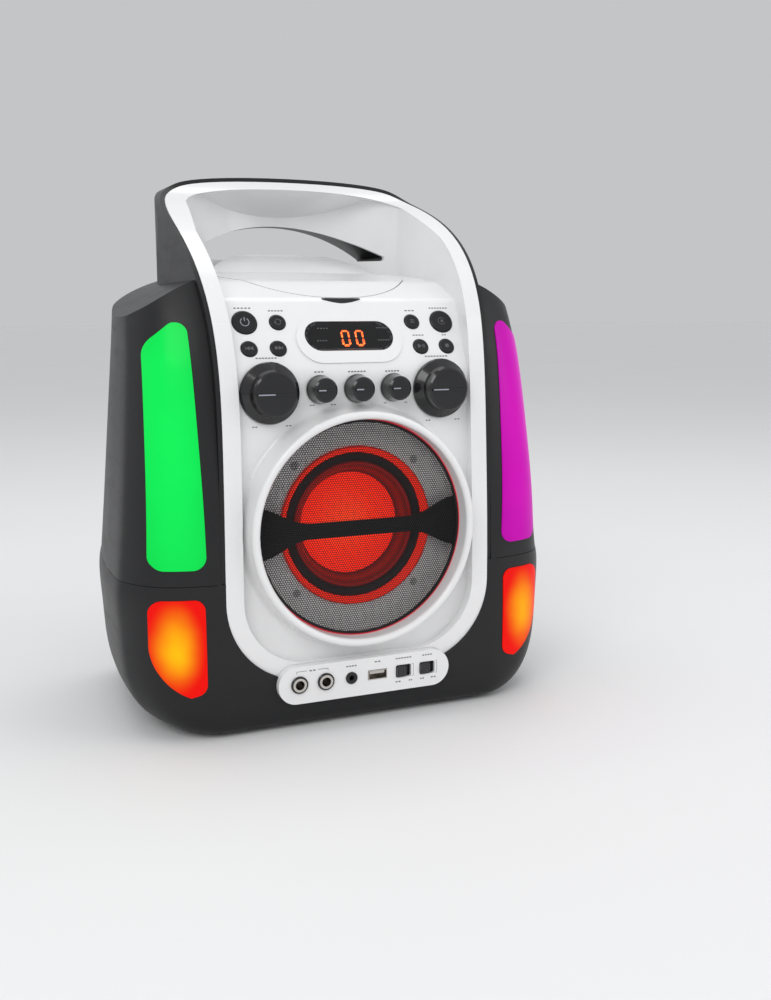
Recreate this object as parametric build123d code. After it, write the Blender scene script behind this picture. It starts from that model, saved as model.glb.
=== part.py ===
from build123d import *
import math
import os

# Karaoke machine with a top-loading disc tray, one speaker and a carry-handle arch. Millimetres.
# x runs to the listener's right, y to the back, z up; z = 0 is the table under the feet.
# While it is drawn, y = 0 is the plane of the speaker opening. export() moves everything so that the
# origin is the middle of the footprint.

# ---------------------------------------------------------------- driving dimensions
OPENING_R = 75.0          # speaker opening in the fascia
WALL = 2.5                # moulded wall
FIT = 0.15                # gap between static mouldings
RUN = 0.05                # radial running clearance of pins and shafts
SLIP = 0.35               # gap round a button or lever in its hole
REAR_Y = 206.0            # outside of the rear wall
FRONT_Y = 7.5             # front of the black body beside the rim
FOOT_H = 4.0
SEAM_Z = 107.0            # joint between base and upper covers
COVER_REAR_Y = 100.0      # joint between side covers and back housing
SPEAKER_Z = 137.0
RIM_X = 96.5              # half width of the rim beside the speaker
RIM_W = 12.0              # width of the flat face of the rim
SKIRT_DEPTH = 11.0        # how far the rim's outer wall reaches back
EDGE_STEP = 0.6           # the black edge lies this far behind the rim's face
EDGE_W = 3.0              # black edge of the back housing round the rim
PANEL_Y = 16.5            # upright part of the control panel
PANEL_LEAN = 28.5         # lean of the button panel from the vertical, degrees
PANEL_BEND_Z = 241.9      # where the upright panel turns into the leaning one
DECK_Z = 288.5            # where the leaning panel meets the deck
DECK_SLOPE = 12.0         # rise of the deck to the back, degrees
LID_R = 71.0
LID_CREST_R = 30.0        # rounding of the lid's crest
HANDLE_HALF = 82.0        # half length of the finger opening
HANDLE_SILL_Z = 323.0
HANDLE_CROWN_Z = 350.5

DECK_Y = PANEL_Y + (DECK_Z - PANEL_BEND_Z) * math.tan(math.radians(PANEL_LEAN))
DECK = Pos(0, DECK_Y, DECK_Z) * Rot(DECK_SLOPE, 0, 0)
# Side view of the lid's top in the deck's frame: distance behind the fold, height above the slope.
LID_LINE = [(4.6, 3.0), (36, 8.7), (104, 2.6), (136, 9.8)]
FLUSH = 0.3               # the deck round the lid lies this far below the lid's top
DECK_REAR_V = 114.0       # behind this the deck is plain
# Button panel frame: local z points out of the panel, local y up along it.
BUTTON_Z = 266.0
BUTTON_Y = PANEL_Y + (BUTTON_Z - PANEL_BEND_Z) * math.tan(math.radians(PANEL_LEAN))
PANEL = Pos(0, BUTTON_Y, BUTTON_Z) * Rot(90 - PANEL_LEAN, 0, 0)
FAR = 400.0

parts = {}


# ---------------------------------------------------------------- helpers
def prism_x(face, x0, x1):
    """A face drawn with (y, z) swept along x."""
    return extrude(Plane.YZ.offset(x0) * face, amount=x1 - x0)


def prism_y(face, y0, y1):
    """A face drawn with (x, z) swept along y."""
    return extrude(Plane.XZ.offset(-y0) * face, amount=y0 - y1)


def prism_z(face, z0, z1):
    """A face drawn with (x, y) swept along z."""
    return extrude(Plane.XY.offset(z0) * face, amount=z1 - z0)


def polygon(*points):
    return make_face(Polyline(*points, close=True))


def rounded(face, *corners):
    """Rounds the corners of a face; each corner is ((a, b), radius)."""
    for (a, b), radius in corners:
        spot = Vector(a, b, 0)
        vertex = min(face.vertices(), key=lambda v: (Vector(v.X, v.Y, v.Z) - spot).length)
        face = fillet(vertex, radius)
    return face


def mirrored(edges):
    """A face between half an outline (x >= 0) and its mirror image."""
    left = [mirror(edge, about=Plane.YZ) for edge in edges]
    return make_face(edges + left)


def box(x0, x1, y0, y1, z0, z1):
    return Pos((x0 + x1) / 2, (y0 + y1) / 2, (z0 + z1) / 2) * Box(x1 - x0, y1 - y0, z1 - z0)


def rod_y(x, z, radius, y0, y1):
    """A round bar along y."""
    return Pos(x, (y0 + y1) / 2, z) * Rot(90, 0, 0) * Cylinder(radius, y1 - y0)


def rod_z(x, y, radius, z0, z1):
    return Pos(x, y, (z0 + z1) / 2) * Cylinder(radius, z1 - z0)


def rod_x(y, z, radius, x0, x1):
    return Pos((x0 + x1) / 2, y, z) * Rot(0, 90, 0) * Cylinder(radius, x1 - x0)


def turned_y(x, z, *profile):
    """A solid turned about a line along y through (x, z); the profile is given as (y, radius)."""
    face = make_face(Polyline(*[(y, r) for y, r in profile], close=True))
    solid = revolve(Plane.YZ * face, axis=Axis((0, 0, 0), (0, 1, 0)))
    return Pos(x, 0, z) * solid


def turned_z(*profile):
    """A solid turned about z; the profile is given as (radius, z)."""
    face = make_face(Polyline(*profile, close=True))
    return revolve(Plane.XZ * face, axis=Axis.Z)


def union(shapes):
    total = shapes[0]
    for shape in shapes[1:]:
        total = total + shape
    return total


def add(name, *shapes):
    parts[name] = shapes


# ---------------------------------------------------------------- outlines of the horseshoe rim
def rim_loop(grow, half_width, waist, spring, shoulder, apex, corner):
    """Front view of a horseshoe: round bottom, nearly straight sides, wider shoulders, crowned top.

    half_width is given at the foot of the sides and waist lists the (x, z) that the sides run
    through; spring, shoulder and apex are where the top begins, turns and is highest; grow moves
    the whole loop outwards."""
    z_low = 93.0
    side, radius = half_width + grow, corner + grow
    foot = (side - radius, z_low - radius)
    half = math.radians(45)
    middle = (foot[0] + radius * math.sin(half), z_low - radius * math.cos(half))
    sides = [(x + grow, z) for x, z in waist]
    start = (spring[0] + grow, spring[1] + 0.1 * grow)
    bend = (shoulder[0] + 0.35 * grow, shoulder[1] + 0.94 * grow)
    top = (0, apex + grow)
    rise = 0.55 * (bend[1] - start[1])
    return mirrored([
        Line((0, foot[1]), foot),
        ThreePointArc(foot, middle, (side, z_low)),
        Spline((side, z_low), *sides, start, tangents=[(0, 1), (0.03, 1)]),
        Bezier(start, (start[0] + 0.5, start[1] + rise), (bend[0] + 12.7, bend[1] - 4.8), bend),
        Bezier(bend, (bend[0] - 11.2, bend[1] + 4.2), (0.48 * bend[0], top[1]), top),
    ])


def rim_outer(grow=0.0):
    waist = [(95.5, 200), (97.2, 275), (101.7, 320)]
    return rim_loop(grow, RIM_X, waist, (104, 344), (84, 374.3), 380.5, 58.0)


def rim_inner(grow=0.0):
    """Inner edge of the rim: a rim's width inside on the sides, close to the edge along the top."""
    waist = [(83.6, 200), (85.4, 272), (90, 318)]
    return rim_loop(grow, RIM_X - RIM_W, waist, (92, 340), (75, 368), 375, 58.0 - RIM_W)


# The rim's face in side view: y, z and lean from the vertical in degrees.
RIM_LINE = [(11.5, 20, -3), (8.2, 75, -2), (7.8, 120, 0), (9.7, 200, 2), (14.5, 250, 10), (26.3, 287, 28),
            (49.7, 317.5, 46), (85.7, 342, 63), (138, 365, 66), (151.5, 372.5, 45), (156, 384, 0)]


def behind_rim(depth=0.0):
    """All that lies more than depth behind the rim's face, which sweeps up and back into the arch."""
    line = []
    for y, z, lean in RIM_LINE:
        turn = math.radians(lean)
        line.append((y + depth * math.cos(turn), z - depth * math.sin(turn)))
    low, top = line[0], line[-1]
    face_line = Spline(*line)
    rest = Polyline(top, (top[0], FAR), (FAR, FAR), (FAR, low[1]), low)
    return prism_x(make_face([face_line, *rest.edges()]), -130, 130)


def deck_spot(v, w):
    """The (y, z) of a place v behind the fold and w above the slope of the deck."""
    turn = math.radians(DECK_SLOPE)
    return (DECK_Y + v * math.cos(turn) - w * math.sin(turn),
            DECK_Z + v * math.sin(turn) + w * math.cos(turn))


def fold_spot():
    """Where the front of the deck, flush with the lid, meets the leaning panel."""
    (v0, w0), (v1, w1) = LID_LINE[:2]
    rise = (w1 - w0) / (v1 - v0)
    start = w0 - FLUSH - rise * v0
    panel_rise = math.tan(math.radians(90 - PANEL_LEAN - DECK_SLOPE))
    v = start / (panel_rise - rise)
    return deck_spot(v, panel_rise * v)


def scoop_side():
    """Side view of the hollow inside the rim: in front of the panel, above the deck, below the hood."""
    back_y = 230.0
    turn = math.radians(DECK_SLOPE)
    deck_back = (back_y, DECK_Z + (back_y - DECK_Y) * math.tan(turn))
    fold = fold_spot()
    crest = deck_spot(LID_LINE[1][0], LID_LINE[1][1] - FLUSH)
    valley = deck_spot(LID_LINE[2][0], LID_LINE[2][1] - FLUSH)
    rear = deck_spot(DECK_REAR_V, 0)
    hood_front = (100.0, 401.0)
    hood_back = (back_y, 338.0)
    face = polygon((PANEL_Y, 0), (PANEL_Y, PANEL_BEND_Z), fold, crest, valley, rear, deck_back, hood_back,
                   hood_front, (-80, 401), (-80, 0))
    return rounded(face, ((PANEL_Y, PANEL_BEND_Z), 24), (fold, 9), (crest, LID_CREST_R))


def scoop_plan():
    """Plan of the hollow: tapering side walls and a curved rear wall behind the lid."""
    side, corner_y, rear = 84.5, 136.0, 190.0
    face = mirrored([
        Line((0, -80), (94, -80)),
        Line((94, -80), (94, 60)),
        Line((94, 60), (side, corner_y)),
        ThreePointArc((side, corner_y), (48, 176.7), (0, rear)),
    ])
    return rounded(face, ((side, corner_y), 14), ((-side, corner_y), 14))


def finger_opening():
    """Front view of the opening under the arch: flat sill and arched crown."""
    ends = 6.0
    face = make_face([
        Line((-HANDLE_HALF, HANDLE_SILL_Z), (HANDLE_HALF, HANDLE_SILL_Z)),
        ThreePointArc((HANDLE_HALF, HANDLE_SILL_Z), (0, HANDLE_CROWN_Z), (-HANDLE_HALF, HANDLE_SILL_Z)),
    ])
    return rounded(face, ((HANDLE_HALF, HANDLE_SILL_Z), ends / 3), ((-HANDLE_HALF, HANDLE_SILL_Z), ends / 3))


def scoop(grow):
    """The hollow inside the rim, each of its three views grown by the same amount."""
    plan, side = scoop_plan(), scoop_side()
    if grow:
        plan = offset(plan, grow, kind=Kind.INTERSECTION)
        side = offset(side, grow, kind=Kind.INTERSECTION)
    return prism_y(rim_inner(grow), -60, 240) & prism_z(plan, 20, FAR) & prism_x(side, -130, 130)


def inside_rim(grow, y0, y1):
    return prism_y(rim_outer(grow), y0, y1)


# ---------------------------------------------------------------- black body
def body_section(z, half_width, setback, inset):
    """Plan of the body at one height: flat front, long round corners, sides closing to the back."""
    front = FRONT_Y + setback + inset
    side = half_width - inset
    rear = REAR_Y - inset
    flat = 98.0
    run = side - flat
    face = mirrored([
        Line((0, front), (flat, front)),
        Spline((flat, front), (flat + 0.36 * run, front + 3), (flat + 0.73 * run, front + 14),
               (flat + 0.94 * run, front + 33), (side, front + 56), tangents=[(1, 0), (0, 1)]),
        Spline((side, front + 56), (side - 11, rear - 30), tangents=[(0, 1), (-0.2, 1)]),
        Spline((side - 11, rear - 30), (side - 38, rear), tangents=[(-0.2, 1), (-1, 0)]),
        Line((side - 38, rear), (0, rear)),
    ])
    return Plane.XY.offset(z) * face


def base_form(inset):
    """Lower body: a tub with a rounded bottom. Each row is height, half width, setback."""
    floor = FOOT_H + inset
    rows = [(floor, 126, 7), (floor + 6, 139, 2.5), (floor + 20, 151, 0.5), (48, 158, 0), (78, 160, 0),
            (SEAM_Z, 159, 0)]
    return loft([body_section(z, w, g, inset) for z, w, g in rows])


def upper_form(inset):
    """Upper body: closes slowly upward and sweeps back. Each row is height, half width, setback."""
    rows = [(SEAM_Z, 159, 0), (150, 155, 1), (190, 151.5, 4.5), (230, 148, 9.8), (262, 145.2, 16.5),
            (285, 143.3, 25.5), (308, 141.6, 38)]
    form = loft([body_section(z, w, g, inset) for z, w, g in rows])
    top = mirrored([
        Line((0, 0), (200, 0)),
        Line((200, 0), (200, 262)),
        Line((200, 262), (147.5, 277.5)),
        Spline((147.5, 277.5), (132, 287.4), (115, 297.7), (98.5, 305), (0, 313)),
    ])
    shoulder = prism_y(top, 0, 240)
    return form & (Pos(0, 0, -inset) * shoulder)


def tower_plan(inset):
    """Plan of the arch's housing: straight beside the rim, closing to the back."""
    wide = 107.6 - inset
    rear = REAR_Y - inset
    heel = 85.0
    face = mirrored([
        Line((0, -50), (wide, -50)),
        Line((wide, -50), (wide, 112)),
        Spline((wide, 112), (104.2 - inset, 146), (heel - inset, rear), tangents=[(0, 1), (-0.5, 1)]),
        Line((heel - inset, rear), (0, rear)),
    ])
    corner = 16 - inset
    return rounded(face, ((heel - inset, rear), corner), ((-heel + inset, rear), corner))


def tower_side(inset):
    """Side view of the arch's housing: the top falls to the back and rolls over."""
    rear = REAR_Y - inset
    face = polygon((-60, 0), (-60, 386 - inset), (158, 384.4 - inset), (rear, 373 - inset), (rear, 0))
    return rounded(face, ((rear, 373 - inset), 14 - inset))


def tower(grow, inset):
    return inside_rim(grow, -60, 240) & prism_z(tower_plan(inset), SEAM_Z, FAR) & prism_x(
        tower_side(inset), -130, 130)


# ---------------------------------------------------------------- front fascia
RING_CREST = 2.8          # the lip round the speaker stands this far in front of y = 0
FLANK_W = 10.0            # width of the lip and its flank on the panel
BAFFLE_R = 55.4           # hole in the white baffle behind the grille


def speaker_ring():
    """Raised lip, flank, tube, grille ledge and woofer baffle, turned about the speaker's axis."""
    lip, flank = OPENING_R + 5.5, OPENING_R + FLANK_W
    tube = OPENING_R + WALL
    outline = [
        Line((13, OPENING_R), (0, OPENING_R)),
        ThreePointArc((0, OPENING_R), (-RING_CREST, OPENING_R + 2.75), (0, lip)),
        Spline((0, lip), (8.5, lip + 0.9), (14, lip + 2.2), (PANEL_Y, flank),
               tangents=[(1, 0.05), (0.2, 1)]),
        Polyline((PANEL_Y, flank), (19, flank), (19, flank - 2), (10, lip + 0.2), (7, tube), (20, tube),
                 (23, tube), (23, BAFFLE_R), (20, BAFFLE_R), (20, 73), (13, 73), (13, OPENING_R)),
    ]
    edges = [edge for curve in outline for edge in curve.edges()]
    ring = revolve(Plane.YZ * make_face(edges), axis=Axis((0, 0, 0), (0, 1, 0)))
    clip = prism_y(rim_inner(WALL - 0.1), -10, 30)
    return (Pos(0, 0, SPEAKER_Z) * ring) & clip


BIG_BUTTON_R, SMALL_BUTTON_R = 8.5, 5.6
# Buttons: place on the leaning panel (x, distance up the panel) and radius.
UP = 1 / math.cos(math.radians(PANEL_LEAN))
HIGH_ROW, LOW_ROW = (275.6 - BUTTON_Z) * UP, (258.6 - BUTTON_Z) * UP
BUTTONS = {
    "power_button": (-72, HIGH_ROW, BIG_BUTTON_R),
    "repeat_button": (-49.2, HIGH_ROW, SMALL_BUTTON_R),
    "previous_button": (-71.9, LOW_ROW, SMALL_BUTTON_R),
    "next_button": (-51.9, LOW_ROW, SMALL_BUTTON_R),
    "program_button": (49.2, HIGH_ROW, SMALL_BUTTON_R),
    "source_button": (72, HIGH_ROW, BIG_BUTTON_R),
    "play_button": (51.9, LOW_ROW, SMALL_BUTTON_R),
    "stop_button": (71.9, LOW_ROW, SMALL_BUTTON_R),
}
KNOB_Z = 230.0
SMALL_KNOB_Z = 231.6
# Knobs: x, z, skirt radius, height above the panel.
KNOBS = {
    "mic_volume_knob": (-61.9, KNOB_Z, 20.5, 16.0),
    "main_volume_knob": (61.9, KNOB_Z, 20.5, 16.0),
    "echo_knob": (-26.7, SMALL_KNOB_Z, 9.7, 13.5),
    "treble_knob": (0, SMALL_KNOB_Z, 9.7, 13.5),
    "balance_knob": (26.7, SMALL_KNOB_Z, 9.7, 13.5),
}
SHAFT_R = 3.0
BUSH_R = 3.5

BOARD_TOP = -9.4           # front of the control board, behind the panel
BOARD_POSTS = [(-36, -12), (36, -12), (-36, 12), (36, 12)]
WINDOW_HALF, WINDOW_H = 32.0, 22.0
PAD_HALF, PAD_H = 38.3, 35.0
PAD_DROP = -2.6

# Jack panel: a pill-shaped box standing out from the foot of the rim.
PILL_HALF, PILL_H, PILL_Z = 63.5, 26.0, 33.5
PILL_FRONT, PILL_DEPTH = 3.0, 15.0


def pill(half, height):
    return SlotOverall(2 * half, height)


def lid_place(v, w=0.0):
    """A place on the deck: v mm behind the fold of the deck, w mm above its surface."""
    return DECK * Pos(0, v, w)


LID_FRONT_V = LID_LINE[0][0]
LID_V = LID_FRONT_V + LID_R
LID_GAP = 0.8
COLLAR_H = 12.0
# The lid's hinge lies in the sill of the finger opening.
HINGE_V, HINGE_W = 152.0, -1.0
HINGE_X, ARM_W, ARM_R = 30.0, 8.0, 4.0
PIN_R = 1.5


def hinge_bracket(x):
    """Block behind the rear wall that carries the pin on both sides of an arm."""
    block = lid_place(HINGE_V, HINGE_W - 2) * Pos(x, 1.5, 0) * Box(ARM_W + 8, 8.4, 8)
    return block - scoop(0)


def lid_collar():
    """Ring under the deck round the lid; the tray of the disc hangs from it."""
    ring = Cylinder(LID_R + LID_GAP + WALL, COLLAR_H) - Cylinder(LID_R + LID_GAP - 0.5, COLLAR_H)
    return lid_place(LID_V, COLLAR_H / 2 - WALL) * ring


def finger_scoop():
    """Shallow hollow that lets a finger under the front edge of the lid."""
    y, z = fold_spot()
    return Pos(0, y - 17.9, z + 17.3) * Sphere(26)


def front_fascia():
    hollow = scoop(0)
    behind = behind_rim()
    rim = inside_rim(0, -20, 220)
    plate = (rim & behind) - behind_rim(WALL)
    skirt = ((rim - inside_rim(-2.0, -20, 220)) & behind) - behind_rim(SKIRT_DEPTH)
    liner = scoop(WALL) & behind
    shell = (plate + skirt + liner + lid_collar()) - hollow
    inset = WALL + FIT
    shell = shell & prism_z(tower_plan(inset), 0, FAR) & prism_x(tower_side(inset), -130, 130)
    shell = shell - rod_y(0, SPEAKER_Z, OPENING_R + FLANK_W - 0.5, -10, 40) + speaker_ring()
    # Display pad and its window seat.
    pad = PANEL * Pos(0, PAD_DROP, -1.2) * extrude(pill(PAD_HALF, PAD_H), amount=2.2)
    shell = shell + pad
    shell = shell - PANEL * Pos(0, 0, -6) * extrude(pill(WINDOW_HALF - 2, WINDOW_H - 4), amount=12)
    shell = shell - PANEL * Pos(0, 0, -0.6) * extrude(pill(WINDOW_HALF + FIT, WINDOW_H + 2 * FIT), amount=6)
    for x, up, radius in BUTTONS.values():
        shell = shell - PANEL * Pos(x, up, 0) * Cylinder(radius + SLIP, 12)
    for x, z, radius, _ in KNOBS.values():
        shell = shell - rod_y(x, z, BUSH_R + FIT, PANEL_Y - 5, PANEL_Y + 8)
        shell = shell - rod_y(x, z, radius + 0.7, -10, PANEL_Y)
    for k in range(4):
        x, up = screw_spot(k)
        shell = shell - rod_y(x, SPEAKER_Z + up, 2.1, PANEL_Y, 30)
    # Seat of the lid, with a finger scoop in front of it.
    shell = shell - lid_place(LID_V, 3) * Cylinder(LID_R + LID_GAP, 18)
    shell = shell - finger_scoop()
    # Finger opening through the rear wall.
    shell = shell - prism_y(finger_opening(), 125, 240)
    # Hinge brackets behind the rear wall, and slots for the arms to swing in.
    for x in (-HINGE_X, HINGE_X):
        shell = shell + hinge_bracket(x)
        shell = shell - lid_place(HINGE_V, HINGE_W) * Pos(x, -4.5, 2) * Box(ARM_W + 1, 24, 16)
        shell = shell - lid_place(HINGE_V, HINGE_W) * rod_x(0, 0, PIN_R, -60, 60)
    shell = shell - prism_y(finger_opening(), 188, 240)
    # Posts for the board behind the buttons.
    for x, up in BOARD_POSTS:
        shell = shell + PANEL * Pos(x, up, (BOARD_TOP - 2) / 2) * Cylinder(2.5, -BOARD_TOP - 2)
    # Seat of the jack panel in the foot of the rim.
    seat = offset(pill(PILL_HALF, PILL_H), FIT)
    shell = shell - prism_y(Pos(0, PILL_Z) * seat, -20, 30)
    return max(shell.solids(), key=lambda solid: solid.volume)


# ---------------------------------------------------------------- black housings
def back_housing():
    """Rear half of the body with the tower that carries the arch, its vents and screw bosses."""
    rear_half = box(-FAR, FAR, COVER_REAR_Y, FAR, SEAM_Z, FAR)
    outer = (upper_form(0) & rear_half) + (tower(EDGE_W, 0) & behind_rim(EDGE_STEP))
    room = (upper_form(WALL) & box(-FAR, FAR, COVER_REAR_Y - 1, FAR, SEAM_Z, FAR)) + tower(FIT, WALL)
    housing = outer - room - box(-93, 93, -60, 40, 0, SEAM_Z + 0.1)
    tunnel = prism_y(offset(finger_opening(), WALL), 130, REAR_Y) - scoop(WALL + FIT)
    for x in (-HINGE_X, HINGE_X):
        tunnel = tunnel - lid_place(HINGE_V, -1.5) * Pos(x, 1.5, 4) * Box(ARM_W + 9, 16, 18)
    housing = housing + tunnel - prism_y(finger_opening(), 125, 240)
    for x, z in UPPER_SCREWS:
        housing = housing + rod_y(x, z, 4.5, POST_END, REAR_Y - 1)
    # Tabs that reach down behind the rear wall of the base.
    back = REAR_Y - WALL
    for x, z in LOWER_SCREWS:
        housing = housing + box(x - 8, x + 8, back - 4, back - FIT, z - 8, SEAM_Z + 8)
        housing = housing + box(x - 8, x + 8, back - 4, back + 1, SEAM_Z + 0.5, SEAM_Z + 8)
    for x, z in UPPER_SCREWS + LOWER_SCREWS:
        housing = housing - screw_hole(x, z)
    for row in range(VENT_ROWS):
        for x in (-VENT_X, VENT_X):
            slot = Pos(x, VENT_Z + row * VENT_PITCH) * SlotOverall(VENT_L, VENT_W)
            housing = housing - prism_y(slot, REAR_Y - 8, REAR_Y + 8)
    return housing


UPPER_SCREWS = [(-112, 112.4), (112, 112.4), (-106, 272), (106, 272)]
LOWER_SCREWS = [(-95, 90), (95, 90)]
POST_END = REAR_Y - 14
VENT_ROWS, VENT_PITCH, VENT_X, VENT_Z, VENT_L, VENT_W = 9, 8.0, 42.0, 180.0, 58.0, 3.2


def screw_hole(x, z):
    """Recess for the head and a hole for the thread of a rear screw."""
    return rod_y(x, z, 4.2, REAR_Y - 1.6, REAR_Y + 6) + rod_y(x, z, 1.7, REAR_Y - 26, REAR_Y)


def lens_outline(side):
    """Front view of the long lens: tall, leaning a little, with a high inner top corner."""
    face = polygon((108.5, 117.5), (144.3, 117.5), (138.4, 262), (112.2, 284))
    face = rounded(face, ((108.5, 117.5), 9), ((144.3, 117.5), 9), ((138.4, 262), 17), ((112.2, 284), 7))
    return face if side > 0 else mirror(face, about=Plane.YZ)


def corner_lens_outline(side):
    """Front view of the corner lens: straight inner edge, outer edge curving under."""
    face = make_face([
        *Polyline((121, 32), (110.3, 35), (110.3, 98), (145.3, 98), (145.3, 66)).edges(),
        ThreePointArc((145.3, 66), (138.5, 46), (121, 32)),
    ])
    face = rounded(face, ((110.3, 35), 8), ((110.3, 98), 7), ((145.3, 98), 9))
    return face if side > 0 else mirror(face, about=Plane.YZ)


LENS_PROUD = 0.8


def side_cover(side):
    """Front half of the upper body on one side, with the hole for the long lens."""
    front_half = box(-FAR, FAR, -20, COVER_REAR_Y, SEAM_Z, FAR)
    half = box(0, FAR, -50, 300, 0, FAR) if side > 0 else box(-FAR, 0, -50, 300, 0, FAR)
    cover = (upper_form(0) - upper_form(WALL)) & front_half & half
    cover = cover - inside_rim(EDGE_W + FIT, -20, 240)
    cover = cover - prism_y(lens_outline(side), -20, 60)
    # Posts that take the rear screws.
    room = upper_form(WALL - 0.5)
    for x, z in UPPER_SCREWS:
        if x * side > 0:
            cover = cover + (rod_y(x, z, 4.0, -10, POST_END - 0.1) & room) - screw_hole(x, z)
    return max(cover.solids(), key=lambda solid: solid.volume)


def light_lens(side):
    skin = upper_form(-LENS_PROUD) - upper_form(WALL - 0.3)
    return skin & prism_y(offset(lens_outline(side), -FIT), -20, 60)


def corner_lens(side):
    skin = base_form(-LENS_PROUD) - base_form(WALL - 0.3)
    return skin & prism_y(offset(corner_lens_outline(side), -FIT), -20, 70)


def base_housing():
    """Tub with a rounded bottom, open where the rim and the jack panel dip into it."""
    tub = base_form(0) - base_form(WALL)
    tub = tub - inside_rim(FIT, -60, 30)
    tub = tub - prism_y(Pos(0, PILL_Z) * offset(pill(PILL_HALF, PILL_H), FIT), -20, 30)
    for side in (-1, 1):
        tub = tub - prism_y(corner_lens_outline(side), -20, 70)
    floor = FOOT_H + WALL
    for x, y in MAIN_POSTS + SUPPLY_POSTS:
        tub = tub + rod_z(x, y, 3.5, floor - 0.5, BOARD_Z)
    for x, z in LOWER_SCREWS:
        tub = tub - screw_hole(x, z)
    tub = tub - box(INLET_X - 12, INLET_X + 12, REAR_Y - 8, REAR_Y + 2, INLET_Z - 7.5, INLET_Z + 7.5)
    for x in RCA_X:
        tub = tub - rod_y(x, INLET_Z, 4.2 + FIT, REAR_Y - 8, REAR_Y + 2)
    return tub


BOARD_Z = 14.0
MAIN_POSTS = [(-20, 60), (100, 60), (-20, 150), (100, 150)]
SUPPLY_POSTS = [(-105, 95), (-50, 95), (-105, 145), (-50, 145)]
INLET_X, INLET_Z = -85.0, 40.0
RCA_X = [50.0, 66.0, 82.0]
BARREL_L = 8.5


def fixings():
    feet = [rod_z(x, y, 11, 0, FOOT_H) for x in (-92, 92) for y in (38, 172)]
    add("rubber_feet", *[chamfer(foot.edges().group_by(Axis.Z)[0], 1.0) for foot in feet])
    screws = []
    for x, z in UPPER_SCREWS + LOWER_SCREWS:
        head = rod_y(x, z, 3.8, REAR_Y - 1.6, REAR_Y - 0.2)
        cross = box(x - 0.5, x + 0.5, REAR_Y - 1.0, REAR_Y, z - 2.4, z + 2.4)
        cross = cross + box(x - 2.4, x + 2.4, REAR_Y - 1.0, REAR_Y, z - 0.5, z + 0.5)
        tip = POST_END - 10 if z > SEAM_Z else REAR_Y - 10
        screws.append(head + rod_y(x, z, 1.65, tip, REAR_Y - 1.5) - cross)
    add("housing_screws", *screws)


# ---------------------------------------------------------------- speaker
FLANGE_Y = 23.0
CONE_R = 44.4
SURROUND_R = 44.7


def speaker_parts():
    z = SPEAKER_Z
    mesh = turned_y(0, z, (9.2, 0), (9.2, 74.7), (12.9, 74.7), (12.9, 73.9), (10, 73.9), (10, 0))
    add("speaker_grille", mesh)

    # Bow-tie bar behind the mesh: narrow in the middle, flared where it meets the tube.
    span, waist, flare = 73.6, 5.2, 16.5
    side = [
        Line((0, waist), (34, waist)),
        Spline((34, waist), (50, 8.6), (62, 14.6), (80, flare + 2), tangents=[(1, 0), (1, 0.12)]),
        Line((80, flare + 2), (80, 0)),
    ]
    quarter = make_face([*side, Line((80, 0), (0, 0)), Line((0, 0), (0, waist))])
    half = quarter + mirror(quarter, about=Plane.XZ)
    bow = half + mirror(half, about=Plane.YZ)
    bar = prism_y(Pos(0, z) * (bow & Circle(span)), 10.1, 12.95)
    add("grille_bar", bar)

    rim = BAFFLE_R - 0.2
    ring = turned_y(0, z, (18.2, rim - 1), (18.2, rim), (22.9, rim), (22.9, 50.6), (22.3, 50.6))
    add("woofer_light_ring", ring)

    basket = turned_y(0, z, (FLANGE_Y, 52.5), (FLANGE_Y, 68), (25, 68), (60, 38), (62, 38), (62, 14),
                      (60, 14), (60, 34), (26.2, 62), (25, 62), (25, 52.5))
    window = prism_x(make_face([Line((30, 20), (56, 14)), Line((56, 14), (56, -14)),
                                Line((56, -14), (30, -20)), Line((30, -20), (30, 20))]), 30, 80)
    for k in range(WINDOWS):
        turn = Rot(0, 360 * (k + 0.5) / WINDOWS, 0)
        basket = basket - Pos(0, 0, z) * turn * window
    for k in range(4):
        x, up = screw_spot(k)
        basket = basket - rod_y(x, z + up, 2.1, 20, 30)
    add("woofer_basket", basket)

    add("woofer_magnet", turned_y(0, z, (62, 12.6), (62, 34), (64, 34), (64, 38), (80, 38), (80, 34),
                                  (84, 34), (84, 0), (80.5, 0), (80.5, 12.6)))
    add("woofer_surround", surround())
    cone = turned_y(0, z, (23.6, CONE_R), (24.4, CONE_R), (24.4, 42.6), (34.5, 36.7), (47, 13), (58, 13),
                    (58, 12.4), (46, 12.4), (33.5, 36), (23.6, 41.8))
    add("woofer_cone", cone)
    add("dust_cap", dust_cap())
    screws = []
    for k in range(4):
        x, up = screw_spot(k)
        head = turned_y(x, z + up, (18.6, 0), (18.6, 1.9), (20, 2.9), (20, 1.9), (28, 1.9), (28, 0))
        screws.append(head)
    add("woofer_screws", *screws)


WINDOWS = 6
SCREW_PCD_R = 62.0


def screw_spot(k):
    turn = math.radians(45 + 90 * k)
    return SCREW_PCD_R * math.cos(turn), SCREW_PCD_R * math.sin(turn)


def surround():
    """Half roll of rubber between the cone and the flange."""
    face = make_face([
        ThreePointArc((24.5, SURROUND_R), (21.2, 47.6), (24.0, 50.5)),
        Polyline((24.0, 50.5), (24.0, 52.4), (25, 52.4), (25, 49.6)),
        ThreePointArc((25, 49.6), (22.3, 47.4), (25.4, SURROUND_R + 0.6)),
        Line((25.4, SURROUND_R + 0.6), (24.5, SURROUND_R)),
    ])
    return Pos(0, 0, SPEAKER_Z) * revolve(Plane.YZ * face, axis=Axis((0, 0, 0), (0, 1, 0)))


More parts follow.
